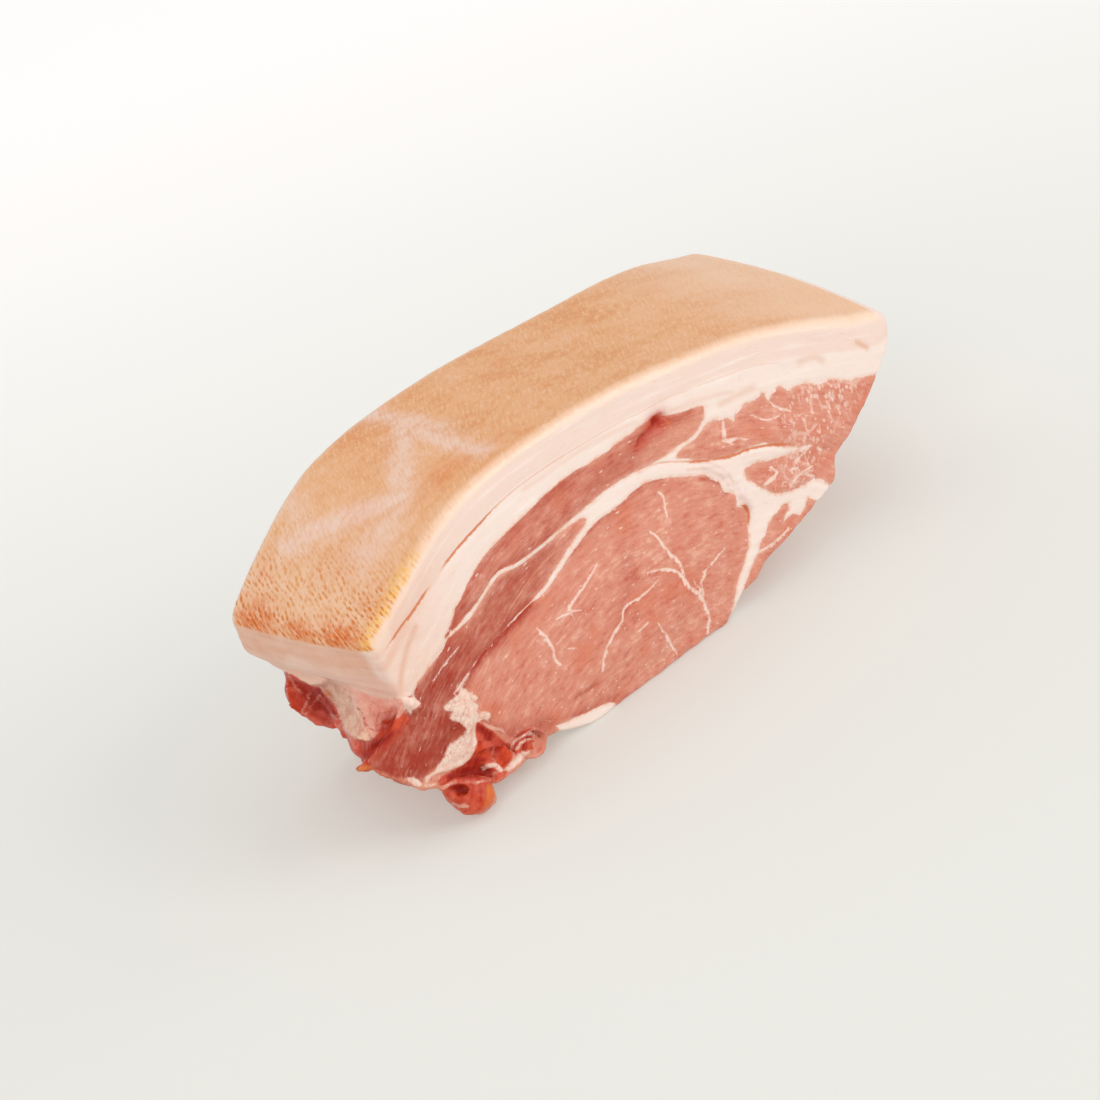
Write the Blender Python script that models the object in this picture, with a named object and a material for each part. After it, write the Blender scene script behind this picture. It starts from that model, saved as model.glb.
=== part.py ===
# A thick boneless pork loin chop, raw, with its fat and rind on.
# Metres, +Z up. It rests on its rib side with the rind on top. +X runs from the belly end to the
# chine end, and the front cut face looks to -Y. The origin is under the middle of its box.

import math

import bmesh
import bpy
from mathutils import Vector, noise
from mathutils.geometry import delaunay_2d_cdt

NAME = "pork_chop"
MM = 0.001

# Driving sizes, in millimetres
THICKNESS_MID = 76.0  # between the two cut faces, at x = 0
THICKNESS_SLOPE = 0.09  # the joint is cut as a wedge, thicker at the chine end
BACK_EASE = 2.1  # how soon the outline turns from the front one into the back one
CURVE_STEPS = 3  # points made between two outline points
EDGE_ROUND = 0.9  # the cut edge is softened by this much
FACE_GRID = 4.6  # spacing of the points that carry the relief of a cut face
RELIEF_FADE = 4.0  # the relief of a cut face dies out this close to its edge
RINGS = (0.0, 0.012, 0.06, 0.13, 0.2, 0.28, 0.36, 0.44, 0.54, 0.66, 0.78, 0.89, 0.988, 1.0)

# The outline of the joint's section, as (front x, front z, back x, back z) in millimetres.
# Each row is one place on the joint, where the front cut and the back cut reach it.
RIND_ROWS = (
    (-67.3, 68.2, -71.3, 65.8),
    (-60.0, 72.5, -63.0, 72.8),
    (-50.0, 78.3, -51.0, 80.2),
    (-40.0, 84.0, -40.0, 86.2),
    (-30.0, 88.5, -29.0, 90.6),
    (-18.0, 92.0, -18.0, 92.8),
    (-5.0, 93.6, -5.0, 94.0),
    (10.0, 94.0, 10.0, 94.0),
    (25.0, 93.6, 27.0, 93.3),
    (40.0, 92.4, 41.0, 91.9),
    (55.0, 90.3, 55.0, 90.2),
    (70.0, 87.3, 71.0, 88.0),
    (85.0, 84.0, 86.0, 86.1),
    (100.0, 80.0, 101.0, 84.2),
    (112.0, 75.7, 114.0, 82.0),
    (125.0, 70.2, 127.0, 78.8),
    (138.0, 64.2, 141.0, 73.6),
    (146.5, 61.2, 150.2, 70.2),
)
CHINE_ROWS = (
    (150.6, 58.0, 153.6, 67.0),
    (150.3, 52.3, 153.3, 61.5),
    (147.0, 46.8, 150.0, 53.0),
    (141.0, 41.6, 143.0, 46.0),
    (133.0, 35.8, 134.0, 38.6),
    (124.0, 30.2, 124.0, 31.6),
    (116.6, 26.7, 116.5, 26.4),
    (114.3, 24.6, 113.0, 23.6),
    (112.8, 20.8, 110.0, 20.6),
    (109.4, 18.3, 106.0, 18.6),
    (104.0, 16.8, 101.0, 16.8),
    (97.0, 14.6, 94.5, 14.6),
    (90.5, 13.0, 88.0, 12.6),
    (83.0, 11.2, 82.0, 10.8),
    (76.0, 9.9, 76.0, 9.2),
    (70.0, 7.0, 70.5, 7.2),
    (64.0, 5.4, 65.0, 5.0),
    (60.0, 3.2, 61.0, 3.0),
    (56.0, 1.0, 57.0, 1.0),
)
RIB_ROWS = (
    (50.0, 0.0, 51.0, 0.0),
    (42.0, 0.0, 42.0, 0.0),
    (28.0, 0.0, 28.0, 0.0),
    (14.0, 0.0, 14.0, 0.0),
    (2.0, 0.0, 4.0, 0.0),
    (-6.0, 0.5, -5.0, 0.0),
    (-13.0, 3.0, -15.0, 0.6),
    (-20.0, 5.6, -23.0, 2.4),
    (-30.0, 6.4, -31.0, 5.2),
    (-40.0, 6.2, -39.0, 8.4),
    (-50.0, 7.6, -46.0, 11.6),
    (-58.5, 10.8, -51.5, 14.6),
    (-65.0, 15.2, -55.4, 17.8),
)
BELLY_ROWS = (
    (-70.5, 20.2, -58.2, 20.6),
    (-75.5, 26.2, -60.6, 22.8),
    (-80.5, 31.4, -62.2, 25.0),
    (-85.4, 35.0, -62.8, 28.4),
    (-83.0, 37.6, -62.6, 33.2),
    (-76.0, 39.4, -62.2, 38.0),
    (-69.5, 42.0, -62.4, 41.2),
    (-65.2, 45.6, -64.4, 45.0),
    (-64.6, 48.6, -68.6, 49.0),
    (-65.6, 54.0, -71.4, 53.0),
    (-66.8, 61.5, -72.0, 60.2),
)

# Soft hollows and swellings of the belly end below the fat: (y, z, y half, z half, outward)
BELLY_FORMS = (
    (18.0, 38.0, 12.0, 10.0, 2.2),
    (46.0, 40.5, 16.0, 8.0, -5.0),
    (4.0, 39.5, 4.0, 6.0, -2.0),
)
BELLY_END_X = -58.0
FAT_BOTTOM_Z = 50.0

# Relief of the front cut face, as (x, z, x half, z half, turn in degrees, height toward the viewer)
FRONT_FORMS = (
    (18.0, 28.0, 56.0, 26.0, 6.0, 2.6),
    (98.0, 44.0, 36.0, 9.0, -22.0, 1.2),
    (92.0, 32.0, 16.0, 6.0, -25.0, 1.0),
    (-5.0, 66.0, 40.0, 6.0, 8.0, 1.0),
    (-64.0, 30.0, 17.0, 9.0, 30.0, 1.4),
    (-47.0, 30.0, 5.0, 8.0, 0.0, 1.0),
    (52.0, 72.5, 4.5, 3.5, 0.0, -3.0),
    (-42.0, 20.0, 4.0, 6.0, 25.0, -4.0),
    (-52.0, 14.0, 7.0, 3.5, -10.0, -4.5),
    (72.0, 32.0, 5.0, 16.0, 12.0, -1.0),
)
BACK_FORMS = (
    (20.0, 30.0, 54.0, 27.0, 4.0, 2.4),
    (98.0, 46.0, 34.0, 10.0, -24.0, 1.4),
    (-8.0, 68.0, 40.0, 6.0, 8.0, 1.0),
    (74.0, 34.0, 6.0, 18.0, 10.0, -1.2),
)

# Loose trimmings that hang at the lower belly corner of the front face
LOBE_CENTRE = (-52.8, 1.2, 7.9)
LOBE_HALF = (8.4, 6.4, 8.0)
LOBE_TURN = 20.0
SHRED_CENTRE = (-39.6, 1.2, 8.6)
SHRED_HALF = (10.0, 5.6, 4.4)
ROLL_CENTRE = (-27.6, 1.0, 7.6)
ROLL_HALF = (5.6, 4.2, 4.6)
TAB_CENTRE = (-63.0, 1.2, 43.8)
TAB_HALF = (3.6, 2.6, 3.0)
LUMP_NOISE = 1.1  # how uneven the trimmings are
CURL_CENTRE = (-27.6, -1.2, 7.4)
CURL_RADIUS = 5.0
CURL_SWEEP = (195.0, -75.0)  # the curled flap winds from one angle to the other
CURL_TIGHTEN = 0.85
CURL_WIDTH = 2.1
CURL_POINTS = 14


def swell(dx, dz, half_x, half_z, turn, height):
    """Height of one soft form at (dx, dz) from its middle; it dies out at its half sizes."""
    c, s = math.cos(math.radians(turn)), math.sin(math.radians(turn))
    along = (dx * c + dz * s) / half_x
    across = (dz * c - dx * s) / half_z
    reach = along * along + across * across
    return height * (1.0 - reach) ** 2 * (1.0 + 2.0 * reach) if reach < 1.0 else 0.0


def curve_through(points, steps):
    """A closed smooth curve through the points, with the given steps between two of them."""
    count = len(points)
    made = []
    for i in range(count):
        before, start, end, after = (points[(i + k) % count] for k in (-1, 0, 1, 2))
        for step in range(steps):
            t = step / steps
            made.append(tuple(
                0.5 * (2.0 * b + (c - a) * t + (2.0 * a - 5.0 * b + 4.0 * c - d) * t ** 2
                       + (3.0 * b - a - 3.0 * c + d) * t ** 3)
                for a, b, c, d in zip(before, start, end, after)))
    return made


def thickness(x):
    return THICKNESS_MID + THICKNESS_SLOPE * x


def belly_shift(x, y, z):
    """How far a point of the belly end below the fat moves outward, toward -X."""
    if x > BELLY_END_X or z > FAT_BOTTOM_Z:
        return 0.0
    return sum(swell(y - fy, z - fz, hy, hz, 0.0, out) for fy, fz, hy, hz, out in BELLY_FORMS)


def ring_at(outline, share):
    """The section's outline at a share of the way from the front cut to the back cut."""
    blend = 1.0 - (1.0 - share) ** BACK_EASE
    ring = []
    for front_x, front_z, back_x, back_z in outline:
        x = front_x + (back_x - front_x) * blend
        z = front_z + (back_z - front_z) * blend
        y = thickness(x) * share
        ring.append(Vector((x - belly_shift(x, y, z), y, max(z, 0.0))))
    return ring


def drawn_in(ring, amount):
    """The ring moved inward in its own plane, which softens a cut edge."""
    count = len(ring)
    made = []
    for i, point in enumerate(ring):
        along = ring[(i + 1) % count] - ring[i - 1]
        inward = Vector((along.z, 0.0, -along.x)).normalized()
        moved = point + inward * amount
        moved.z = max(moved.z, 0.0)
        made.append(moved)
    return made


def edge_distance(x, z, ring):
    """Distance in the section from a point to the nearest side of the ring."""
    best = 1e9
    for i, a in enumerate(ring):
        b = ring[(i + 1) % len(ring)]
        run_x, run_z = b.x - a.x, b.z - a.z
        t = ((x - a.x) * run_x + (z - a.z) * run_z) / max(run_x ** 2 + run_z ** 2, 1e-9)
        t = min(max(t, 0.0), 1.0)
        best = min(best, math.hypot(x - a.x - run_x * t, z - a.z - run_z * t))
    return best


def relief(x, z, ring, forms):
    fade = min(edge_distance(x, z, ring) / RELIEF_FADE, 1.0)
    return fade * sum(swell(x - fx, z - fz, hx, hz, turn, h) for fx, fz, hx, hz, turn, h in forms)


def cut_face(ring, forms, share, outward):
    """Points and triangles of one cut face; the ring's own points come first."""
    flat = [Vector((p.x, p.z)) for p in ring]
    xs = [p.x for p in flat]
    zs = [p.y for p in flat]
    grid = []
    row = 0
    z = min(zs) + FACE_GRID
    while z < max(zs):
        x = min(xs) + (FACE_GRID / 2 if row % 2 else 0.0)
        while x < max(xs):
            grid.append(Vector((x, z)))
            x += FACE_GRID
        z += FACE_GRID * math.sqrt(0.75)
        row += 1
    grid = [p for p in grid if edge_distance(p.x, p.y, ring) > FACE_GRID * 0.55]
    sides = [(i, (i + 1) % len(flat)) for i in range(len(flat))]
    made = delaunay_2d_cdt(flat + grid, sides, [], 1, 1e-6)
    points, triangles = made[0], made[2]
    placed = []
    for p in points:
        y = thickness(p.x) * share + outward * relief(p.x, p.y, ring, forms)
        placed.append(Vector((p.x, y, p.y)))
    return placed, triangles


def joint_mesh():
    """The joint itself: rings of its section from the front cut to the back cut, and both cuts."""
    rows = RIND_ROWS + CHINE_ROWS + RIB_ROWS + BELLY_ROWS
    outline = curve_through(rows, CURVE_STEPS)
    rings = [ring_at(outline, share) for share in RINGS]
    rings[0] = drawn_in(rings[0], EDGE_ROUND)
    rings[-1] = drawn_in(rings[-1], EDGE_ROUND)
    mesh = bmesh.new()
    loops = [[mesh.verts.new(p * MM) for p in ring] for ring in rings]
    count = len(outline)
    for near, far in zip(loops, loops[1:]):
        for i in range(count):
            j = (i + 1) % count
            mesh.faces.new((near[i], near[j], far[j], far[i]))
    for ring, loop, forms, share, outward in (
            (rings[0], loops[0], FRONT_FORMS, RINGS[0], -1.0),
            (rings[-1], loops[-1], BACK_FORMS, RINGS[-1], 1.0)):
        points, triangles = cut_face(ring, forms, share, outward)
        verts = loop + [mesh.verts.new(p * MM) for p in points[count:]]
        for triangle in triangles:
            mesh.faces.new([verts[i] for i in triangle])
    bmesh.ops.recalc_face_normals(mesh, faces=mesh.faces)
    bmesh.ops.triangulate(mesh, faces=[f for f in mesh.faces if len(f.verts) > 3])
    return mesh


def lump_mesh(centre, half, turn):
    """A rounded, slightly uneven trimming, flat where it touches the ground."""
    mesh = bmesh.new()
    bmesh.ops.create_uvsphere(mesh, u_segments=22, v_segments=14, radius=1.0)
    c, s = math.cos(math.radians(turn)), math.sin(math.radians(turn))
    for vert in mesh.verts:
        x, y, z = (value * size for value, size in zip(vert.co, half))
        place = Vector((x * c - z * s, y, x * s + z * c))
        place += place.normalized() * LUMP_NOISE * noise.noise(place * 0.22)
        place += Vector(centre)
        place.z = max(place.z, 0.0)
        vert.co = place * MM
    return mesh


def curl_object():
    """The flap that curls up beside the hanging lobe, as a bevelled spiral."""
    curve = bpy.data.curves.new("curl", "CURVE")
    curve.dimensions = "3D"
    curve.bevel_depth = CURL_WIDTH * MM
    curve.bevel_resolution = 2
    curve.use_fill_caps = True
    spline = curve.splines.new("POLY")
    spline.points.add(CURL_POINTS - 1)
    first, last = CURL_SWEEP
    for i, point in enumerate(spline.points):
        t = i / (CURL_POINTS - 1)
        angle = math.radians(first + (last - first) * t)
        radius = CURL_RADIUS * (1.0 - (1.0 - CURL_TIGHTEN) * t)
        place = Vector(CURL_CENTRE) + Vector((math.cos(angle), 0.35 * t, math.sin(angle))) * radius
        point.co = (*(place * MM), 1.0)
    obj = bpy.data.objects.new("curl", curve)
    bpy.context.scene.collection.objects.link(obj)
    graph = bpy.context.evaluated_depsgraph_get()
    mesh = bpy.data.meshes.new_from_object(obj.evaluated_get(graph))
    bpy.data.objects.remove(obj)
    shape = bmesh.new()
    shape.from_mesh(mesh)
    bmesh.ops.remove_doubles(shape, verts=shape.verts, dist=1e-6)
    return shape


def new_object(name, shape, collection):
    mesh = bpy.data.meshes.new(name)
    shape.to_mesh(mesh)
    shape.free()
    obj = bpy.data.objects.new(name, mesh)
    collection.objects.link(obj)
    return obj


def joined(base, helpers):
    """One Boolean union of the joint with every trimming, applied."""
    union = base.modifiers.new("trimmings", "BOOLEAN")
    union.operation = "UNION"
    union.operand_type = "COLLECTION"
    union.collection = helpers
    union.solver = "EXACT"
    graph = bpy.context.evaluated_depsgraph_get()
    mesh = bpy.data.meshes.new_from_object(base.evaluated_get(graph))
    base.modifiers.clear()
    base.data = mesh
    for obj in list(helpers.objects):
        bpy.data.objects.remove(obj)
    bpy.data.collections.remove(helpers)


def stand_on_origin(obj):
    """Moves the mesh so that the middle of its box stands on the origin."""
    low = Vector([min(v.co[k] for v in obj.data.vertices) for k in range(3)])
    high = Vector([max(v.co[k] for v in obj.data.vertices) for k in range(3)])
    middle = (low + high) / 2
    for vert in obj.data.vertices:
        vert.co -= Vector((middle.x, middle.y, low.z))


def meat_material():
    material = bpy.data.materials.new("raw_pork")
    material.use_nodes = True
    shader = material.node_tree.nodes["Principled BSDF"]
    shader.inputs["Base Color"].default_value = (0.62, 0.25, 0.19, 1.0)
    shader.inputs["Roughness"].default_value = 0.45
    shader.inputs["Metallic"].default_value = 0.0
    return material


def build():
    for obj in list(bpy.data.objects):
        bpy.data.objects.remove(obj)
    parts = bpy.data.collections.new(NAME)
    helpers = bpy.data.collections.new("trimmings")
    bpy.context.scene.collection.children.link(parts)
    bpy.context.scene.collection.children.link(helpers)
    chop = new_object(NAME, joint_mesh(), parts)
    new_object("lobe", lump_mesh(LOBE_CENTRE, LOBE_HALF, LOBE_TURN), helpers)
    new_object("shred", lump_mesh(SHRED_CENTRE, SHRED_HALF, 0.0), helpers)
    new_object("roll", lump_mesh(ROLL_CENTRE, ROLL_HALF, 0.0), helpers)
    new_object("tab", lump_mesh(TAB_CENTRE, TAB_HALF, 0.0), helpers)
    new_object("curl", curl_object(), helpers)
    joined(chop, helpers)
    stand_on_origin(chop)
    chop.data.materials.clear()
    chop.data.materials.append(meat_material())
    chop.data.shade_smooth()
    chop.data.set_sharp_from_angle(angle=math.radians(50.0))


build()
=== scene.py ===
import itertools
import math
from types import SimpleNamespace

import bpy
import numpy as np
import openvdb
from mathutils import Matrix, Vector


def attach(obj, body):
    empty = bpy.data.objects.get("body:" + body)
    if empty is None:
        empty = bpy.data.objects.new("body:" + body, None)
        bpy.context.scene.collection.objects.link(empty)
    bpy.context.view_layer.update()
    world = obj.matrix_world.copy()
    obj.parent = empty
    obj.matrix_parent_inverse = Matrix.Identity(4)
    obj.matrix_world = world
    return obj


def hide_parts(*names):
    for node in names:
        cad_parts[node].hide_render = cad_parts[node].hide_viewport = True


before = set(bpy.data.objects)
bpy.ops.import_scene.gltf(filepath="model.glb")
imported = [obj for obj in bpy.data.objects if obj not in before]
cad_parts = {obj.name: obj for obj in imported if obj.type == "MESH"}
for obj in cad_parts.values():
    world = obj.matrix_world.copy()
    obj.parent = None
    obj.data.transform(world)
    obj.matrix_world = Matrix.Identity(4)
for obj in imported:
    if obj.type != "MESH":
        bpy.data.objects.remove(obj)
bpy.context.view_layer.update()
print("frame loaded")

mm = 0.001      # metres in a millimetre
metre = 1000.0  # and the other way round

# Everything about the meat is in millimetres of its section: x along the section from the belly
# end to the chine end, y from the front cut to the back cut, z up. sectionMiddle is the section
# point that stands over the origin of the part.
chop = dict(
    sectionMiddle=(34.15, 42.3, 0.0),
    thicknessMid=76.0,     # between the cut faces at x = 0
    thicknessSlope=0.09,   # the joint is a wedge
    backEase=2.1,          # how soon the outline turns into the back one
    outlineSteps=6,
    blends=13,             # outlines worked out between front and back
    edgeRound=1.3,         # softness of the cut edges
    rindRound=3.4,         # and of those of the rind
    rindFrom=(48.0, 62.0),   # heights where one changes into the other
    bellyFrom=(50.0, 58.0),  # how far left of x = 0 the forms of the belly end set in
    reliefFade=4.0,
    lumps=((4.2, 1.0, 5), (1.9, 0.5, 6)),  # size, share and seed of the trimmings' lumps
    lumpHeight=0.54,
    margin=4.0,            # how far round a form the field is worked out
    cavityFade=1.9,
    # steps of the field that the mesh is drawn from, as (place, step): finest at the near belly corner
    stepsX=((-93.0, 0.69), (-26.0, 0.75), (0.0, 1.06), (158.5, 1.08)),
    stepsY=((-9.5, 0.72), (7.0, 0.78), (18.0, 1.3), (64.0, 1.36), (95.0, 1.15)),
    stepsZ=((-3.0, 0.69), (46.0, 0.8), (66.0, 1.0), (98.5, 1.0)),
    most=2.8,              # the field isn't followed further than this from the surface
)
# The camera looks at the front cut from the belly side, turned on its own axis as in the photo
view = dict(azimuth=-32.0, elevation=26.0, roll=20.0, distance=1.1, lens=120.0, sensor=36.0,
            target=(-0.03265, -0.0423, 0.0591))

# The outline of the section as (front x, front z, back x, back z)
rindRows = (
    (-67.3, 68.2, -71.3, 65.8), (-60, 72.5, -63, 72.8), (-50, 78.3, -51, 80.2),
    (-40, 84, -40, 86.2), (-30, 88.5, -29, 90.6), (-18, 92, -18, 92.8),
    (-5, 93.6, -5, 94), (10, 94, 10, 94), (25, 93.6, 27, 93.3),
    (40, 92.4, 41, 91.9), (55, 90.3, 55, 90.2), (70, 87.3, 71, 88),
    (85, 84, 86, 86.1), (100, 80, 101, 84.2), (112, 75.7, 114, 82),
    (125, 70.2, 127, 78.8), (138, 64.2, 141, 73.6), (146.5, 61.2, 150.2, 70.2),
)
chineRows = (
    (150.6, 58, 153.6, 67), (150.3, 52.3, 153.3, 61.5), (147, 46.8, 150, 53),
    (141, 41.6, 143, 46), (133, 35.8, 134, 38.6), (124, 30.2, 124, 31.6),
    (116.6, 26.7, 116.5, 26.4), (114.3, 24.6, 113, 23.6), (112.8, 20.8, 110, 20.6),
    (109.4, 18.3, 106, 18.6), (104, 16.8, 101, 16.8), (97, 14.6, 94.5, 14.6),
    (90.5, 13, 88, 12.6), (83, 11.2, 82, 10.8), (76, 9.9, 76, 9.2),
    (70, 7, 70.5, 7.2), (64, 5.4, 65, 5), (60, 3.2, 61, 3), (56, 1, 57, 1),
)
ribRows = (
    (50, 0, 51, 0), (42, 0, 42, 0), (28, 0, 28, 0), (14, 0, 14, 0),
    (2, 0, 4, 0), (-6, 0.5, -5, 0), (-13, 3, -15, 0.6), (-20, 5.6, -23, 2.4),
    (-30, 6.4, -31, 5.2), (-40, 6.2, -39, 8.4), (-50, 7.6, -46, 11.6),
    (-58.5, 10.8, -51.5, 14.6), (-65, 15.2, -55.4, 17.8),
)
bellyRows = (
    (-70.5, 20.2, -58.2, 20.6), (-75.5, 26.2, -60.6, 22.8), (-80.5, 31.4, -62.2, 25),
    (-85.4, 35, -62.8, 28.4), (-83, 37.6, -62.6, 33.2), (-76, 39.4, -62.2, 38),
    (-69.5, 42, -62.4, 41.2), (-65.2, 45.6, -64.4, 45), (-64.6, 48.6, -68.6, 49),
    (-65.6, 54, -71.4, 53), (-66.8, 61.5, -72, 60.2),
)
outlineRows = np.array(rindRows + chineRows + ribRows + bellyRows)

# Soft forms of the cut faces: (x, z, x half, z half, turn in degrees, height toward the viewer)
frontForms = (
    (18, 28, 56, 26, 6, 2.6), (98, 44, 36, 9, -22, 1.2),
    (92, 32, 16, 6, -25, 1), (-5, 66, 40, 6, 8, 1),
    (-64, 30, 17, 9, 30, 1.4), (-47, 30, 5, 8, 0, 1),
    (72, 32, 5, 16, 12, -1),
)
backForms = (
    (20, 30, 54, 27, 4, 2.4), (98, 46, 34, 10, -24, 1.4),
    (-8, 68, 40, 6, 8, 1), (74, 34, 6, 18, 10, -1.2),
)
# Forms of the belly end below the fat: (y, z, y half, z half, outward)
bellyForms = ((18, 38, 12, 10, 2.2), (46, 40.5, 16, 8, -2), (4, 39.5, 4, 6, -2))


def viewAxes():
    # right and up in the picture, and toward the camera
    a, e, r = (math.radians(view[key]) for key in ("azimuth", "elevation", "roll"))
    back = Vector((math.sin(a) * math.cos(e), -math.cos(a) * math.cos(e), math.sin(e)))
    level = Vector((math.cos(a), math.sin(a), 0.0))
    upright = back.cross(level)
    return level * math.cos(r) - upright * math.sin(r), level * math.sin(r) + upright * math.cos(r), back


def smooth(value, low, high):
    part = np.clip((value - low) / (high - low), 0.0, 1.0)
    return part * part * (3.0 - 2.0 * part)


def swell(dx, dz, halfX, halfZ, turn, height):
    c, s = math.cos(math.radians(turn)), math.sin(math.radians(turn))
    reach = ((dx * c + dz * s) / halfX) ** 2 + ((dz * c - dx * s) / halfZ) ** 2
    return np.where(reach < 1.0, height * (1.0 - reach) ** 2 * (1.0 + 2.0 * reach), 0.0)


def curveThrough(points, steps, closed=True):
    # a Catmull-Rom curve through the points
    points = np.asarray(points, float)
    count = len(points)
    made = []
    for i in range(count if closed else count - 1):
        if closed:
            a, b, c, d = (points[(i + k) % count] for k in (-1, 0, 1, 2))
        else:
            a, b, c, d = (points[min(max(i + k, 0), count - 1)] for k in (-1, 0, 1, 2))
        for step in range(steps):
            t = step / steps
            made.append(0.5 * (2 * b + (c - a) * t + (2 * a - 5 * b + 4 * c - d) * t ** 2
                               + (3 * b - a - 3 * c + d) * t ** 3))
    if not closed:
        made.append(points[-1])
    return np.array(made)


def latticeNoise(points, size, seed):
    # smooth noise from -1 to 1 with cells of the given size
    table = np.random.default_rng(seed).uniform(-1.0, 1.0, 4096)
    scaled = points / size
    cell = np.floor(scaled).astype(np.int64)
    part = scaled - cell
    part = part * part * (3.0 - 2.0 * part)
    primes = np.array((73856093, 19349663, 83492791))[:points.shape[1]]
    total = np.zeros(len(points))
    for corner in itertools.product((0, 1), repeat=points.shape[1]):
        keys = np.bitwise_xor.reduce((cell + corner) * primes, axis=1) & 4095
        total += table[keys] * np.prod(np.where(corner, part, 1.0 - part), axis=1)
    return total


def insideField(flat, ring):
    # signed distance to a closed ring, positive inside
    ax, az = ring[:, 0], ring[:, 1]
    bx, bz = np.roll(ax, -1), np.roll(az, -1)
    runX, runZ = (bx - ax).astype(np.float32), (bz - az).astype(np.float32)
    square = np.maximum(runX ** 2 + runZ ** 2, 1e-9)
    result = np.empty(len(flat), np.float32)
    for start in range(0, len(flat), 8192):
        px = flat[start:start + 8192, 0, None].astype(np.float32)
        pz = flat[start:start + 8192, 1, None].astype(np.float32)
        relX, relZ = px - ax.astype(np.float32), pz - az.astype(np.float32)
        t = np.clip((relX * runX + relZ * runZ) / square, 0.0, 1.0)
        gap = ((relX - runX * t) ** 2 + (relZ - runZ * t) ** 2).min(axis=1)
        crossed = ((az > pz) != (bz > pz)) & (relX < (pz - az) * runX / np.where(runZ == 0, 1e-9, runZ))
        inside = crossed.sum(axis=1) % 2 == 1
        result[start:start + 8192] = np.sqrt(gap) * np.where(inside, 1.0, -1.0)
    return result


def nearLine(flat, line):
    # signed distance to a line, length run along it, how far past its ends, and the nearest row
    a, run = line[:-1], np.diff(line, axis=0)
    length = np.maximum(np.hypot(run[:, 0], run[:, 1]), 1e-6)
    relX, relZ = flat[:, 0, None] - a[:, 0], flat[:, 1, None] - a[:, 1]
    t = (relX * run[:, 0] + relZ * run[:, 1]) / length ** 2
    held = np.clip(t, 0.0, 1.0)
    gap = np.hypot(relX - run[:, 0] * held, relZ - run[:, 1] * held)
    row = gap.argmin(axis=1)
    every = np.arange(len(flat))
    side = np.sign(run[row, 0] * relZ[every, row] - run[row, 1] * relX[every, row])
    starts = np.concatenate(([0.0], np.cumsum(length)))
    along = starts[row] + held[every, row] * length[row]
    past = np.maximum(-t[:, 0] * length[0], 0.0) * (row == 0)
    past += np.maximum(t[:, -1] - 1.0, 0.0) * length[-1] * (row == len(run) - 1)
    return gap[every, row] * side, along, past


def thickness(x):
    return chop["thicknessMid"] + chop["thicknessSlope"] * x


def shareBlend(x, y):
    share = np.clip(y / thickness(x), 0.0, 1.0)
    return 1.0 - (1.0 - share) ** chop["backEase"]


frontRing = curveThrough(outlineRows[:, :2], chop["outlineSteps"])
backRing = curveThrough(outlineRows[:, 2:], chop["outlineSteps"])


def ringAt(blend):
    ring = frontRing + (backRing - frontRing) * blend
    ring[:, 1] = np.maximum(ring[:, 1], 0.0)
    return ring


def gradedAxis(stops):
    made = [stops[0][0]]
    while made[-1] < stops[-1][0]:
        made.append(made[-1] + np.interp(made[-1], *zip(*stops)))
    return np.array(made)


# The dense field: negative inside the meat
axisX, axisY, axisZ = axes = [gradedAxis(chop[key]) for key in ("stepsX", "stepsY", "stepsZ")]
counts = np.array([len(axis) for axis in axes])
planeX, planeZ = np.meshgrid(axisX, axisZ, indexing="ij")
planeFlat = np.stack((planeX.ravel(), planeZ.ravel()), axis=1)


def softMax(a, b, reach):
    mixed = np.maximum(reach - np.abs(a - b), 0.0) / reach
    return np.maximum(a, b) + mixed * mixed * reach / 4.0


def softMin(a, b, reach):
    return -softMax(-a, -b, reach)


def wholeField():
    layers = np.stack([-insideField(planeFlat, ringAt(blend)).reshape(planeX.shape)
                       for blend in np.linspace(0.0, 1.0, chop["blends"])])
    blend = shareBlend(axisX[:, None], axisY[None, :]) * (chop["blends"] - 1)
    lower = np.minimum(blend.astype(int), chop["blends"] - 2)
    part = (blend - lower)[:, :, None]
    columns = np.arange(counts[0])[:, None]
    side = layers[lower, columns] * (1.0 - part) + layers[lower + 1, columns] * part
    # forms of the belly end, only below the fat
    y, z = axisY[:, None], axisZ[None, :]
    outward = sum(swell(y - fy, z - fz, hy, hz, 0.0, out) for fy, fz, hy, hz, out in bellyForms)
    side = side - outward[None] * smooth(-axisX, *chop["bellyFrom"])[:, None, None]
    fades = [np.clip(-layers[k] / chop["reliefFade"], 0.0, 1.0) for k in (0, -1)]
    reliefs = [fade * sum(swell(planeX - fx, planeZ - fz, hx, hz, turn, height)
                          for fx, fz, hx, hz, turn, height in forms)
               for fade, forms in zip(fades, (frontForms, backForms))]
    front = -axisY[None, :, None] - reliefs[0][:, None, :]
    back = axisY[None, :, None] - thickness(axisX)[:, None, None] - reliefs[1][:, None, :]
    caps = np.maximum(front, back)
    soft = chop["edgeRound"] + (chop["rindRound"] - chop["edgeRound"]) * smooth(axisZ, *chop["rindFrom"])
    return softMax(side, caps, soft[None, None, :]).astype(np.float32)


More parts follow.
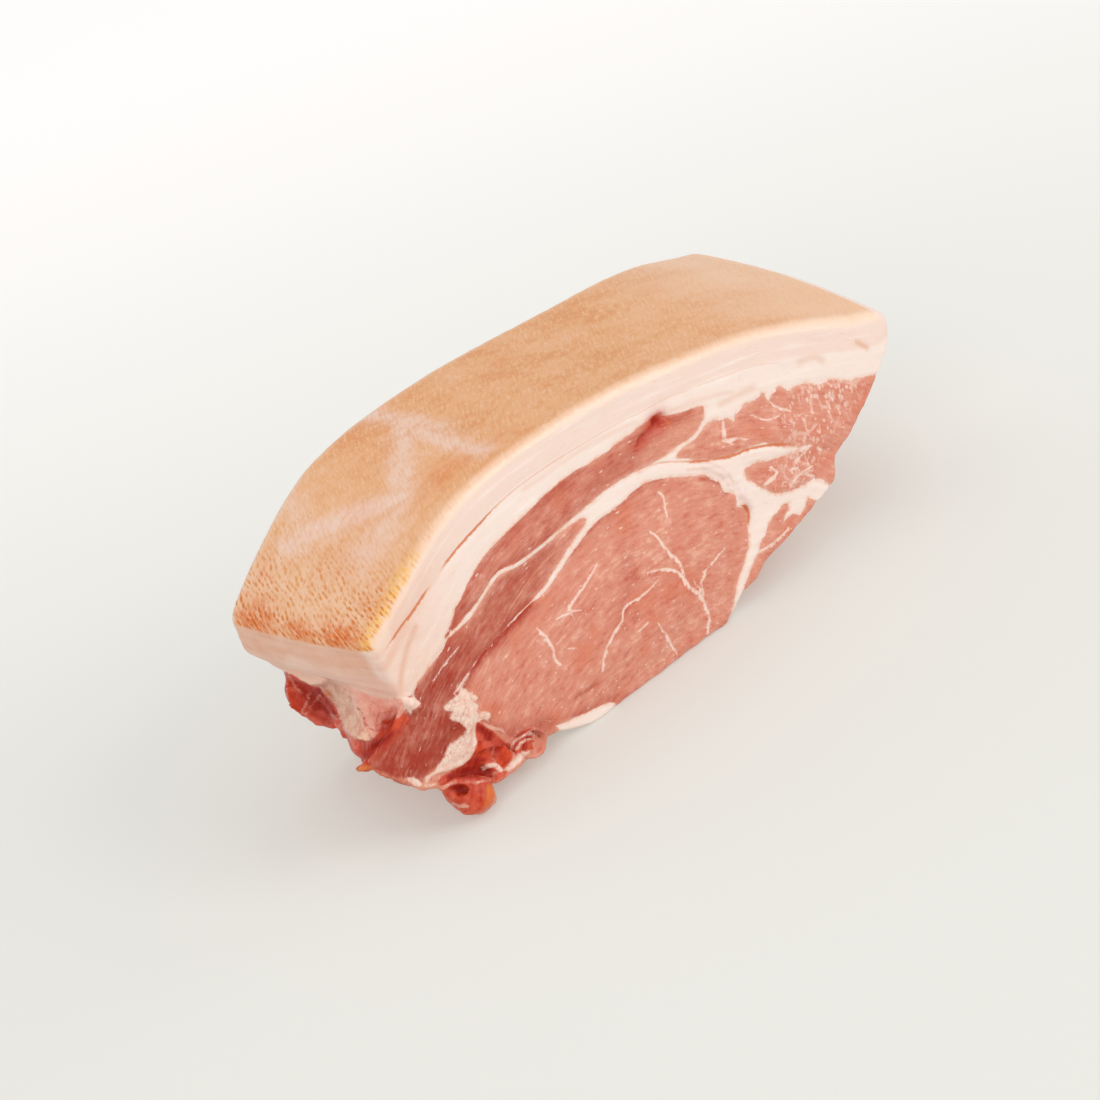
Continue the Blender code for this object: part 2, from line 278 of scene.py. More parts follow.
# Trimmings at the lower belly corner and the hollows between them. A form is its points with a
# radius at each, and a softness where it meets the rest.
trimmings = (
    # the hanging lobe, fuller on its near side, and the rim over its hole
    dict(points=((-55.5, 0.6, 10.2), (-54.8, -1.4, 7.4), (-54, -2.6, 6.4)), radii=(6.3, 6.6, 5.8), soft=1.6),
    dict(points=((-63.2, -0.8, 14.6), (-58.2, -2.6, 13.7), (-53.8, -3.6, 11.6), (-47, -3, 7.4)),
         radii=(0.9, 1.2, 1.2, 0.9), soft=0.7),
    # the light scrap and the shreds between lobe and curl
    dict(points=((-48.4, -0.8, 13.2), (-45.6, -1.2, 12), (-44, -1.4, 9.8)), radii=(0.7, 0.9, 0.8), soft=1.6),
    dict(points=((-47, 2, 9.6), (-41, 0.2, 8.2), (-33, 0.4, 7.2)), radii=(3.6, 3.9, 3.2), soft=1.2),
    dict(points=((-42.6, -0.6, 14.8), (-40, -1.9, 13), (-38.6, -2.3, 10), (-39.4, -1.8, 7.4)),
         radii=(1.2, 1.7, 1.7, 1.3), soft=0.7),
    dict(points=((-48, -0.3, 18), (-45, -1.4, 18.6), (-42.9, -1.6, 17)), radii=(1.2, 1.6, 1.2), soft=0.8),
    dict(points=((-46.2, -2.4, 6.6), (-42.6, -3.2, 6.4), (-38.8, -3.2, 6.8), (-34.7, -3.2, 7)),
         radii=(0.8, 1.2, 1.2, 1), soft=0.8),
    # the tab of fat below the fat's end, and the fat's lower rim
    dict(points=((-64.6, 0.4, 47), (-62.2, -1.2, 45.4), (-60.9, -1.7, 43), (-62.6, -0.8, 41)),
         radii=(1.2, 1.7, 1.6, 0.8), soft=1),
    dict(points=((-65.4, 64, 47.4), (-65.2, 58, 45.8), (-64.6, 50, 43.4), (-64.4, 42, 44.4)),
         radii=(1.4, 2.2, 2.6, 1.8), soft=3),
    # the rim round the recess, the cliff of membrane and the folds between them
    dict(points=((-61.4, 65.6, 40), (-62, 66, 36.4), (-63.4, 65.6, 33), (-64, 65.2, 29.6),
                 (-63.4, 63, 26.8), (-64.4, 58, 27.4), (-65, 52.5, 26.6), (-65.6, 46.5, 27.2),
                 (-67.6, 40.5, 29.2)), radii=(1, 1.5, 1.7, 1.8, 1.7, 1.5, 1.7, 1.5, 1), soft=1.4),
    dict(points=((-60.4, 53.4, 36.8), (-62.2, 46.5, 35.6), (-65.4, 39, 34.8), (-69, 32, 33.4),
                 (-72.6, 26, 32.6)), radii=(1.2, 1.7, 1.9, 1.7, 1), soft=1.2),
    dict(points=((-60.6, 61.6, 34.4), (-61.2, 61, 29.6)), radii=(0.8, 0.7), soft=0.8),
    dict(points=((-59.8, 57, 34), (-62, 55.8, 29.4)), radii=(0.8, 0.8), soft=0.8),
    # the pale muscle above the crevice
    dict(points=((-65, 22, 43.6), (-67.4, 13, 42.4), (-66.6, 7, 42.6)), radii=(3, 4.2, 3), soft=3),
    # the frayed lower edge of the front flap and its tip
    dict(points=((-80, 0.9, 31.4), (-76.2, 0.6, 27.2), (-73.2, 0.4, 23.8), (-70.8, 0.3, 20.6),
                 (-68.4, 0.1, 18.2), (-65, 0, 16.4)), radii=(0.7, 1.1, 1.5, 1.6, 1.5, 1.2), soft=0.9),
    dict(points=((-82.6, 0.9, 35.2), (-85.4, 1, 35.9)), radii=(1.2, 0.8), soft=1),
)
hollows = (
    # the cave over the lobe, its crevices, and the hole in the lobe
    dict(points=((-58.8, -1.8, 16.4), (-54, -1.8, 14.6), (-50, -1.6, 12.4), (-46.6, -1.4, 10)),
         radii=(0.9, 1.8, 2.1, 1.3), soft=1),
    dict(points=((-44.4, -1.2, 24.9), (-42.2, -1, 21.5), (-40.8, -1, 18.1)), radii=(0.8, 1.9, 1.4), soft=0.8),
    dict(points=((-40.2, -1.6, 15.6), (-43.4, -1.4, 15.2), (-46.6, -1, 16.2)), radii=(0.9, 1.3, 1), soft=0.7),
    dict(points=((-37.8, -1.4, 13), (-37.2, -1.2, 9.6)), radii=(1, 1.1), soft=0.7),
    dict(points=((-61, -2.2, 12.8), (-59.4, -3.4, 12.2), (-57.4, -4, 11)), radii=(1.1, 1.8, 1.3), soft=0.8),
    # the recess behind the membrane, deepest under the fat
    dict(points=((-62.6, 60, 34), (-63.2, 57, 31.6), (-64.6, 51, 31), (-67, 44.5, 31.4)),
         radii=(2, 2.6, 2.3, 1.2), soft=1.8),
    # below the fat at the far corner
    dict(points=((-64.5, 69.5, 39.6), (-66, 73, 37), (-63, 76, 30)), radii=(2.6, 4.2, 4), soft=2),
    # the dark crevice behind the front's left edge
    dict(points=((-82.5, 7, 36.6), (-78, 6, 37.4), (-74.4, 5.2, 38), (-70.4, 4.2, 39), (-66.6, 2.8, 40.6)),
         radii=(0.7, 1.3, 1.7, 1.5, 0.8), soft=1.2),
    # the hollow in the top strip and the crack below it
    dict(points=((51.6, -0.6, 72.4), (53.4, -0.4, 73.8), (54.8, -0.5, 74.6)), radii=(1.9, 2.6, 2.1),
         soft=0.9),
    dict(points=((40.6, -0.6, 69.2), (44.2, -0.4, 71.2), (47.9, -0.3, 72.6), (51.4, -0.4, 73)),
         radii=(0.8, 1.1, 1.2, 1.5), soft=0.7),
    # the gap under the frayed fat at the eye's upper right
    dict(points=((62.6, -0.9, 47.8), (66.4, -0.7, 45.2)), radii=(0.6, 1.1), soft=0.6),
    dict(points=((69.4, -0.7, 42), (70.4, -0.7, 38.6)), radii=(1, 0.7), soft=0.6),
)
# A thin flap rolled up on itself, its axis along y, round a core that lies deeper
curl = dict(centre=(-29.4, 8.6), radius=6.0, inner=1.6, flatter=1.12, sweep=(190.0, -345.0), steps=44,
            thick=0.8, near=-4.4, far=4.5, slope=0.05, wave=(0.5, 0.7), edge=0.8, soft=0.6,
            core=3.8, coreBack=2.6, coreSoft=1.0)


def blockOf(lowCorner, highCorner):
    return tuple(slice(max(np.searchsorted(axis, a) - 1, 0), np.searchsorted(axis, b) + 1)
                 for axis, a, b in zip(axes, lowCorner, highCorner))


def tubeField(points, radii):
    # the block of the field round a form, and the distance to it there
    points, radii = np.array(points, float), np.array(radii, float)
    reach = radii.max() + chop["margin"]
    block = blockOf(points.min(axis=0) - reach, points.max(axis=0) + reach)
    x, y, z = np.meshgrid(axisX[block[0]], axisY[block[1]], axisZ[block[2]], indexing="ij")
    place = np.stack((x, y, z), axis=-1)
    best = np.full(x.shape, 1e9)
    for a, b, ra, rb in zip(points, points[1:], radii, radii[1:]):
        run = b - a
        t = np.clip(((place - a) @ run) / (run @ run), 0.0, 1.0)
        best = np.minimum(best, np.linalg.norm(place - a - t[..., None] * run, axis=-1) - ra - (rb - ra) * t)
    flat = place.reshape(-1, 3)
    rough = sum(share * latticeNoise(flat, size, seed) for size, share, seed in chop["lumps"])
    return block, best - chop["lumpHeight"] * rough.reshape(x.shape)


def addCurl(field):
    turns = np.linspace(0.0, 1.0, curl["steps"])
    angles = np.radians(curl["sweep"][0] + (curl["sweep"][1] - curl["sweep"][0]) * turns)
    radius = curl["radius"] + (curl["inner"] - curl["radius"]) * turns
    line = np.stack((curl["centre"][0] + radius * np.cos(angles) * curl["flatter"],
                     curl["centre"][1] + radius * np.sin(angles)), axis=1)
    margin = chop["margin"]
    lowX, lowZ = line.min(axis=0) - margin
    highX, highZ = line.max(axis=0) + margin
    block = blockOf((lowX, curl["near"] - margin, lowZ), (highX, curl["far"] + margin / 2, highZ))
    x, z = np.meshgrid(axisX[block[0]], axisZ[block[2]], indexing="ij")
    gap, along, past = nearLine(np.stack((x.ravel(), z.ravel()), axis=1), line)
    gap, along = np.abs(gap).reshape(x.shape), along.reshape(x.shape)
    y = axisY[block[1]][None, :, None]
    waveHeight, waveTurn = curl["wave"]
    front = curl["near"] + curl["slope"] * along + waveHeight * np.sin(along * waveTurn)
    sheet = softMax(gap[:, None, :] - curl["thick"], front[:, None, :] - y, curl["edge"])
    core = np.hypot(x - curl["centre"][0], z - curl["centre"][1])[:, None, :] - curl["core"]
    core = softMax(core, curl["near"] + curl["coreBack"] - y, curl["coreSoft"])
    field[block] = softMin(softMin(field[block], core, curl["coreSoft"]), sheet, curl["soft"])


def shapeMeat():
    field = wholeField()
    for form in trimmings:
        block, tube = tubeField(form["points"], form["radii"])
        field[block] = softMin(field[block], tube, form["soft"])
    addCurl(field)
    for form in hollows:
        block, tube = tubeField(form["points"], form["radii"])
        field[block] = softMax(field[block], -tube, form["soft"])
    field = np.maximum(field, -axisZ[None, None, :])  # it stands flat
    return np.clip(field, -chop["most"], chop["most"]).astype(np.float32)


def meshOf(field):
    grid = openvdb.FloatGrid(chop["most"])
    grid.copyFromArray(field)
    points, quads = grid.convertToQuads(0.0)
    points = [np.interp(points[:, k], np.arange(counts[k]), axes[k]) for k in range(3)]
    return np.stack(points, axis=1), quads.astype(np.int64)


def sampleField(field, places):
    # trilinear reading of a dense field
    at = np.stack([np.interp(places[:, k], axes[k], np.arange(counts[k])) for k in range(3)], axis=1)
    at = np.minimum(at, counts - 1.001)
    cell = at.astype(int)
    part = at - cell
    total = np.zeros(len(places))
    for corner in itertools.product((0, 1), repeat=3):
        weight = np.prod(np.where(corner, part, 1.0 - part), axis=1)
        total += field[tuple((cell + corner).T)] * weight
    return total


def boxBlur(field, reach):
    # mean over a cube of the given reach, two passes for each axis
    for axis in range(3):
        for _ in range(2):
            padded = np.concatenate((np.repeat(field.take([0], axis), reach + 1, axis), field,
                                     np.repeat(field.take([-1], axis), reach, axis)), axis)
            sums = np.cumsum(padded, axis=axis)
            size = field.shape[axis]
            span = 2 * reach + 1
            field = (sums.take(range(span, span + size), axis) - sums.take(range(0, size), axis)) / span
    return field


def cavityOf(field, places, reach):
    # above zero in hollows, below zero on ridges and edges
    full = np.clip(0.5 - field / chop["cavityFade"], 0.0, 1.0).astype(np.float32)
    return (sampleField(boxBlur(full, reach), places) - 0.5) * 2.0


meatField = shapeMeat()
places, quads = meshOf(meatField)
print("meat drawn:", len(places), "points,", len(quads) * 2, "triangles")

# The anatomy of the section, read in the plane of the front cut. Lean outlines are in three
# groups so that no two neighbours share one; what none of them covers is fat.
leanOutlines = dict(
    first=(
        # the strip under the backfat
        ((-43, 55), (-38, 59), (-36, 61.5), (-32, 64.5), (-25, 68.5), (-20, 70.5), (-10, 72.5), (0, 74.2),
         (5, 75.3), (12, 76), (20, 76.2), (30, 75.5), (40, 75.8), (48, 76), (53, 76), (58, 73.8),
         (64, 71.8), (70, 70), (72, 69), (71, 66.5), (69.5, 64.8), (66, 63.1), (62, 62.7), (57, 62.9),
         (52, 62.7), (45, 63.1), (40, 64), (33, 64.7), (25, 64.5), (17, 63.7), (11, 63.4), (0, 62.7),
         (-10, 62.2), (-15, 63.2), (-19, 63.7), (-23, 62.2), (-27, 59.7), (-30, 58.2), (-35, 56.7),
         (-40, 55.6)),
        # the eye of the loin
        ((-13, 47.3), (-5, 48.3), (0, 50), (5, 52), (9, 53.8), (13, 55), (17, 56.8), (22, 57.8), (27, 57.5),
         (32, 58), (37, 59), (42, 58.8), (48, 57), (54, 54), (60, 50.8), (64, 49), (66, 46), (68.5, 43.5),
         (69, 40.5), (70.5, 38.5), (73, 36.5), (73.2, 34), (72.5, 32), (75.5, 30.5), (75.3, 27),
         (74, 23.5), (72, 20), (70, 17), (66, 13), (62, 9.5), (60, 6), (57, 3), (55, 0), (52, -4), (8, -4),
         (5, 1.4), (0, 3.7), (-4, 4.3), (-10, 5.8), (-20, 8), (-20, 11), (-27, 13), (-34, 14),
         (-36, 17), (-38, 20), (-41, 25), (-43, 27), (-41, 30), (-43, 33), (-42, 36), (-43.5, 38),
         (-42, 39.4), (-36, 42), (-30, 44), (-20, 46)),
    ),
    second=(
        # the long strip over the eye and the belly end
        ((-61, 44), (-58, 47.5), (-52, 50), (-45, 52.5), (-42, 54.2), (-35, 55.3), (-30, 56.8), (-27, 58.3),
         (-23, 60.8), (-19, 62.3), (-15, 61.8), (-10, 60.8), (0, 61.3), (8, 61.8), (13, 62), (17, 61.4),
         (18, 60.5), (16, 59), (12, 57.7), (9, 56.2), (5, 54.1), (0, 51.8), (-5, 49.6), (-13, 47.9),
         (-18, 46.8), (-24, 45), (-30, 43.8), (-36, 41.8), (-42, 39.6), (-45, 38.2), (-45.4, 36.5),
         (-44.4, 34), (-45, 31), (-44.4, 28), (-45.4, 25), (-47.6, 20), (-51, 17.8), (-57, 19),
         (-64, 20.4), (-70, 19.4), (-80, 22), (-96, 32), (-92, 40), (-80, 42), (-70, 43)),
        # the marbled muscle at the chine end
        ((56, 59.8), (58, 61.2), (62, 61.2), (66, 61.6), (69.4, 62.9), (72, 63), (77, 61.8), (79.6, 60.4),
         (81, 58.2), (82.6, 60.2), (86, 60.8), (90, 60.4), (93.6, 60.8), (95.6, 59.6), (96.4, 57.6),
         (98.4, 59), (101.4, 59), (104, 57.6), (105.6, 55), (107.4, 56.2), (110, 55.6), (113, 53.5),
         (118, 51.5), (122, 50), (126, 48), (130, 45.5), (135, 44), (141, 41.5), (152, 36), (150, 24),
         (118, 22), (114, 27), (110, 31), (108, 34.5), (106, 35.5), (102, 37.5), (98, 39.5), (95, 41.5),
         (90, 45.5), (85, 47.5), (80, 48.5), (73, 50), (68, 52), (64, 54), (60, 57)),
        # the small muscle under the eye's right side
        ((64, 6), (67, 9.5), (70, 11.5), (73, 14), (77, 17.5), (81, 20.5), (85, 22.5), (88, 23), (92, 22.5),
         (89, 20), (87, 18), (91, 18.5), (94, 17), (92, 15.5), (96, 17), (100, 19.5), (102, 16),
         (103, 11), (95, 8), (85, 6), (76, 4), (70, 2), (64, 0)),
    ),
    third=(
        # the marbled muscle below the white tongue
        ((79.5, 42.5), (83, 41.5), (88, 40), (93, 38.5), (100, 37), (104, 35), (108, 35), (109, 32),
         (113, 28.5), (118, 25), (116, 20), (112, 18), (109.5, 18.5), (107.5, 21), (106, 23), (103, 24.5),
         (97, 25), (92, 26.5), (87, 29), (84, 32), (81, 36), (79, 39)),
        # the trimmings at the lower belly corner
        ((-96, 17), (-70, 18.5), (-64, 19.2), (-58, 17.4), (-53, 15.8), (-49, 16.4), (-46, 20), (-44.6, 24),
         (-40.6, 24.8), (-38, 20.6), (-36, 17.4), (-33.4, 14.4), (-27, 13.4), (-20, 11.2), (-17, 4),
         (-17, -4), (-96, -4)),
    ),
)
# Lines of white fat: the points, then the half widths from one end to the other
whiteLines = (
    (((-13, 40), (-11.5, 36), (-11, 32), (-11.5, 28.5), (-10, 25.5)), (0.25, 0.45, 0.5, 0.4, 0.2)),
    (((15, 46), (10, 44), (5, 42), (0, 40), (-1, 38.5), (-6, 39)), (0.15, 0.25, 0.3, 0.35, 0.3, 0.15)),
    (((-1, 39), (3, 37)), (0.25, 0.15)),
    (((3, 15), (5, 18.5), (8, 21.5), (12, 24), (15.5, 25.5), (17, 28), (19, 29), (22, 29), (25, 28.5),
      (29, 29), (33, 29.5)), (0.3, 0.42, 0.38, 0.4, 0.35, 0.4, 0.36, 0.3, 0.3, 0.25, 0.15)),
    (((30, 34), (34, 32.5), (38, 30.5), (41, 27.5), (43, 23), (44, 20), (46, 17), (47.5, 14), (48, 10),
      (48, 6), (46.5, 3), (46, 1.5)), (0.3, 0.4, 0.5, 0.5, 0.5, 0.45, 0.5, 0.5, 0.55, 0.5, 0.45, 0.35)),
    (((28, 17), (28.5, 14), (30, 10.5), (31, 7), (32, 4), (32, 1.5)), (0.2, 0.3, 0.36, 0.34, 0.3, 0.2)),
    (((62, 23.5), (56, 22.5), (52, 22), (50.5, 20), (48.5, 19), (48.5, 15)),
     (0.15, 0.25, 0.32, 0.34, 0.3, 0.3)),
    (((20, 19), (24, 19.5)), (0.2, 0.25)),
    (((84, 34), (90, 35), (88, 38)), (0.5, 0.4, 0.25)),
    (((98, 34), (104, 35)), (0.3, 0.3)),
    (((93, 28.5), (98, 29.5), (104, 29)), (0.4, 0.35, 0.25)),
    (((99, 29), (104, 25)), (0.3, 0.35)),
    (((77, 61), (75.5, 57), (75, 55), (80, 53), (83, 51)), (0.5, 0.6, 0.55, 0.3, 0.15)),
    (((73, 15), (80, 14), (88, 15)), (0.3, 0.5, 0.3)),
    (((-47, 38), (-40, 40.5)), (0.3, 0.35)),
    (((-52, 46), (-46, 48.5), (-40, 50)), (0.12, 0.2, 0.12)),
)
whiteBranches = (
    (((37, 45), (38.5, 42), (39.5, 38), (40.5, 34.5), (42, 32), (42.8, 29), (43, 25)),
     (0.2, 0.3, 0.36, 0.4, 0.4, 0.4, 0.35)),
    (((46, 53.5), (46.5, 51), (45.5, 48), (45, 45)), (0.35, 0.3, 0.3, 0.2)),
    (((27, 7), (30, 7)), (0.25, 0.2)),
    (((96, 33), (98, 30.5), (94, 28)), (0.35, 0.3, 0.3)),
    (((-6, 29), (-3, 27)), (0.15, 0.12)),
    (((88, 57), (92, 53), (98, 51)), (0.15, 0.25, 0.15)),
    (((96, 57), (99, 53), (103, 50)), (0.15, 0.3, 0.2)),
)
# Reddish lines: the membrane in the fat, the dark seam beside the eye, tears
redLines = (
    (((-64.6, 63.2), (-61, 64.6), (-55, 67), (-50, 68.7), (-45, 71), (-41, 72.6)),
     (0.12, 0.3, 0.42, 0.5, 0.4, 0.15)),
    (((-37, 74.2), (-33, 76), (-25, 78.5), (-18, 80.3), (-10, 82), (0, 83), (10, 83.2), (20, 82.8),
      (30, 82.2), (40, 81.3), (50, 80), (60, 79), (68, 77)),
     (0.15, 0.36, 0.42, 0.38, 0.24, 0.2, 0.22, 0.2, 0.18, 0.17, 0.18, 0.16, 0.1)),
    (((72, 76.4), (82, 73.8), (92, 71.4), (98, 69.4), (105, 66)), (0.08, 0.16, 0.14, 0.16, 0.1)),
    (((-13, 47.5), (-20, 46.5), (-30, 44.5), (-36, 42.5), (-42, 40)), (0.15, 0.2, 0.1, 0.12, 0.08)),
    (((-20, 50), (-8, 55), (5, 58)), (0.12, 0.3, 0.15)),
    (((55.6, 74.4), (57.4, 71.6), (57.8, 69)), (0.15, 0.4, 0.2)),
    # along the white arc's upper edge
    (((44, 63.2), (50.3, 61.4), (56.6, 58), (62.5, 54.6), (68.9, 51.6), (75.4, 49), (82.9, 47.6),
      (91.8, 43.9), (101.5, 38.6)), (0.12, 0.26, 0.22, 0.34, 0.3, 0.42, 0.34, 0.45, 0.2)),
    (((45, 45), (55, 44)), (0.14, 0.1)),
    (((74, 31.5), (75.6, 30), (75.5, 27), (74.4, 24)), (0.3, 0.5, 0.5, 0.25)),
)
# What shows at the near belly corner, as drawn on the picture plane: millimetres right and up of the
# view's middle. First areas by tone, then strokes with their half widths.
cornerAreas = dict(
    # the fat's end and its lower rim
    fat=(
        ((-79.4, -36.4), (-75.8, -38.2), (-72, -40.5), (-69, -41.3), (-66, -40.6), (-60.5, -40.6),
         (-55.1, -42.7), (-49.6, -44.3), (-44.7, -44.2), (-46.4, -40.6), (-55.1, -37.9), (-66, -36.3),
         (-73.6, -33.5), (-79.1, -31.9)),
    ),
    # wet dark red: the recess, the shreds
    wine=(
        ((-79.4, -36.4), (-72, -40.5), (-68.7, -41.3), (-65.5, -45.5), (-63.8, -47.7), (-62.7, -50.5),
         (-61.6, -53.2), (-59.5, -55.6), (-57.3, -57.5), (-56.6, -59.7), (-57.3, -61.9), (-60.3, -59.5),
         (-62.7, -57.1), (-66, -54.8), (-69.8, -53.7), (-73.6, -50.7), (-76.6, -49.1), (-78.4, -46.6),
         (-78.8, -41.2)),
        ((-22.1, -51.8), (-19.1, -53.2), (-16.6, -54.8), (-13.6, -57.5), (-11.5, -58.4), (-11.5, -61.9),
         (-13.6, -65.2), (-17.5, -66.8), (-17.5, -69.3), (-25.6, -69.5), (-32.2, -70.6), (-33.8, -70.1),
         (-32.2, -67.9), (-27.3, -65.2), (-23.7, -62.5), (-22.1, -59.7)),
        ((-52.4, -56.7), (-49.6, -53.7), (-46.4, -51), (-43.6, -48.8), (-42.4, -51), (-46.4, -54.3),
         (-51.8, -57.5)),
    ),
    # the pale muscle
    mauve=(
        ((-63.3, -40.7), (-59.5, -41.1), (-56.2, -42.6), (-52.9, -43.8), (-49.6, -44.6), (-46.4, -44.3),
         (-44.5, -45), (-43.6, -47.7), (-44.7, -49.9), (-46.9, -50.7), (-49.6, -53.2), (-52.4, -55.9),
         (-53.3, -56.7), (-54.5, -54.8), (-55.9, -52.1), (-56.7, -49.4), (-58.1, -47.2), (-59.5, -45),
         (-60.3, -42.5)),
    ),
    # beige film over the pale muscle
    membrane=(
        ((-68.7, -41.1), (-66.5, -40.6), (-63.3, -40.9), (-60.3, -42.5), (-59.5, -45), (-58.1, -47.2),
         (-56.7, -49.4), (-55.9, -52.1), (-54.5, -54.8), (-53.3, -56.7), (-55.1, -57.1), (-57.3, -56.7),
         (-59.7, -55.4), (-61.6, -53.2), (-62.7, -50.5), (-63.8, -47.7), (-65.5, -45.5), (-67.6, -42.8)),
    ),
    # orange-red: the crevice's lip, the lobe, frayed edges
    bright=(
        ((-50.2, -51.3), (-46.4, -50.7), (-45.5, -51.5), (-46.9, -53.7), (-49.1, -55.4), (-51.8, -56.5)),
        ((-32.7, -72.3), (-30.5, -70.6), (-27.8, -69.8), (-24.5, -69.8), (-21.3, -69.4), (-17.5, -68.9),
         (-16.3, -70.6), (-16.8, -73.9), (-18.5, -76.7), (-20.7, -78.7), (-22.9, -79.8), (-25.1, -79.8),
         (-27.3, -78.7), (-30, -76.2), (-32, -74)),
        ((-76.6, -49.1), (-73.6, -49.5), (-69.8, -52.4), (-66, -53.5), (-62.7, -55.9), (-60, -58.6),
         (-57.3, -61.9), (-57.8, -62.2), (-60.3, -59.7), (-62.7, -57.5), (-66, -55.3), (-69.8, -54.2),
         (-73.6, -51)),
        ((-78.9, -38.7), (-77.9, -40.1), (-77.3, -43.4), (-75.7, -46.6), (-74.2, -49.4), (-76.6, -49.1),
         (-78.5, -46.6), (-79, -42.3)),
        ((-14.7, -59.2), (-11.5, -59.2), (-11.7, -62.5), (-13.6, -65.2), (-15.8, -66.3), (-16.9, -64.6),
         (-15.3, -62.5)),
        ((-17.5, -69.3), (-16.4, -67.1), (-13.6, -65.2), (-12, -65.2), (-13.1, -67.4), (-15.3, -69.3)),
        ((-11.2, -60.8), (-11.6, -58.1), (-9.8, -55.8), (-6.5, -54.7), (-3.2, -55), (-1, -56.3),
         (-0.1, -59.2), (-0.5, -60.9), (-2.7, -60.4), (-6, -60.4), (-8.7, -61.9)),
        ((-22.4, -57.5), (-19.6, -59.7), (-18, -61.9), (-21.8, -64.6), (-25.6, -64.6), (-24, -63)),
    ),
    # the soft orange lip of the crevice and the flap's pale lower rim
    lip=(
        ((-54, -46.5), (-50, -47), (-46, -47.5), (-44.3, -49), (-46.5, -51.2), (-49.5, -53),
         (-52, -54), (-53.5, -51)),
        ((-46.4, -53.5), (-45.3, -51.5), (-43.4, -50.5), (-42.4, -51.1), (-44.1, -54.3), (-46.4, -57.1),
         (-49.6, -59.8), (-52.4, -62.6), (-54.5, -64.7), (-56.8, -64.7), (-57.1, -63), (-54.5, -62.5),
         (-51.8, -60), (-49.1, -57.5), (-46.6, -54.8)),
    ),
    rim=(
        ((-52.9, -66), (-49.6, -67.1), (-46.4, -68.2), (-43.1, -68.7), (-38.7, -70.1), (-33.8, -69.8),
         (-33, -70.6), (-34.9, -72.4), (-38.2, -72.8), (-40.9, -72.1), (-43.6, -70.2), (-46.9, -68.8),
         (-51.8, -67.2)),
    ),
    # the darkest hollows: painted shade over the meat's own dark red
    deep=(
        ((-79.1, -37.1), (-75.8, -38.6), (-72, -40.6), (-68.7, -41.8), (-66.5, -44.7), (-64.4, -48),
         (-63.8, -51), (-66, -50.5), (-68.2, -48.3), (-70.4, -48.8), (-72, -47.7), (-73.6, -45),
         (-75.3, -42.8), (-77.2, -39.8)),
        ((-56.5, -61.9), (-55.1, -59.2), (-52.4, -57.3), (-49.1, -55.5), (-46.4, -53.5), (-46.6, -54.8),
         (-49.1, -57.5), (-51.8, -60), (-54.5, -62.5)),
        ((-30.5, -68.7), (-29.5, -66.3), (-25.6, -64.6), (-21.8, -64.5), (-18.5, -65.2), (-17.2, -67.1),
         (-21.3, -68.6), (-25.6, -68.9)),
        ((-29.5, -70.4), (-26.5, -70.1), (-25.4, -71.5), (-25.6, -73.1), (-27.8, -72.8), (-29.7, -72)),
        ((-21.8, -52.5), (-19.6, -53.1), (-16.9, -55.1), (-17.2, -57.3), (-19.1, -57.5), (-20.7, -55.4),
         (-22.1, -54.3)),
        ((-18.5, -59.7), (-16.4, -58.5), (-13.9, -59.1), (-15.3, -60.5), (-17.5, -61.1)),
        ((-25.6, -64.6), (-23.5, -62.5), (-20.7, -61.9), (-19.1, -63), (-21.8, -64.6)),
    ),
    # film and scraps of fat
    cream=(
        ((-44.3, -44.2), (-42, -44.5), (-39.5, -46.5), (-40.9, -48), (-42, -49.4), (-42.9, -48),
         (-43.6, -46.1)),
        ((-26.2, -42.3), (-22.9, -43.4), (-21.8, -44.5), (-23.2, -45.8), (-22.4, -47.7), (-21.8, -49.9),
         (-22.1, -52.1), (-22.6, -55.4), (-21.8, -57.5), (-22.4, -59.7), (-24, -62.5), (-27.3, -64.6),
         (-30.5, -66), (-33.3, -67.1), (-35.4, -67.5), (-34.2, -65.8), (-32.9, -63.6), (-31.8, -61.4),
         (-31, -59.8), (-29.8, -58.2), (-27.8, -56.8), (-26, -55), (-25.1, -53.7), (-26.2, -52.6),
         (-27.8, -51.5), (-29.5, -51), (-30, -49.9), (-28.9, -48.3), (-31.1, -48.3), (-31.9, -47.2),
         (-30.5, -45.5), (-28.4, -43.9), (-27.3, -42.8)),
        ((-21.5, -48.9), (-19.6, -48.3), (-18.1, -49.1), (-18.7, -51), (-19.9, -50.6), (-21.2, -50.9)),
        ((-43.4, -68.6), (-41.2, -68.2), (-39.2, -69.3), (-38.6, -70.5), (-40.1, -71), (-42, -69.9)),
        ((-38.2, -70.7), (-35.5, -70.1), (-33.7, -69.8), (-34.1, -70.6), (-36.7, -71.2)),
        ((-8.7, -60.4), (-6, -60.4), (-8.2, -62.6), (-10.8, -65.3), (-12.5, -66.4), (-13.6, -65.8),
         (-11.3, -63)),
        ((-0.3, -55.9), (0.7, -57.5), (0.1, -60.9), (-0.8, -61.4), (-0.5, -59.2)),
    ),
    # yellowish tip and spots
    amber=(
        ((-58.4, -66.2), (-56.6, -64.6), (-54.5, -64.6), (-52.8, -65.3), (-54.5, -65.9), (-56.6, -66.5)),
        ((-67.3, -42.4), (-65.9, -42.4), (-65.3, -43.6), (-66.1, -44.6), (-67.2, -43.8)),
        ((-19.1, -70.6), (-16.4, -70.6), (-16.9, -73.9), (-18.5, -76.4), (-20.5, -77.7), (-19.1, -74.5)),
    ),
)
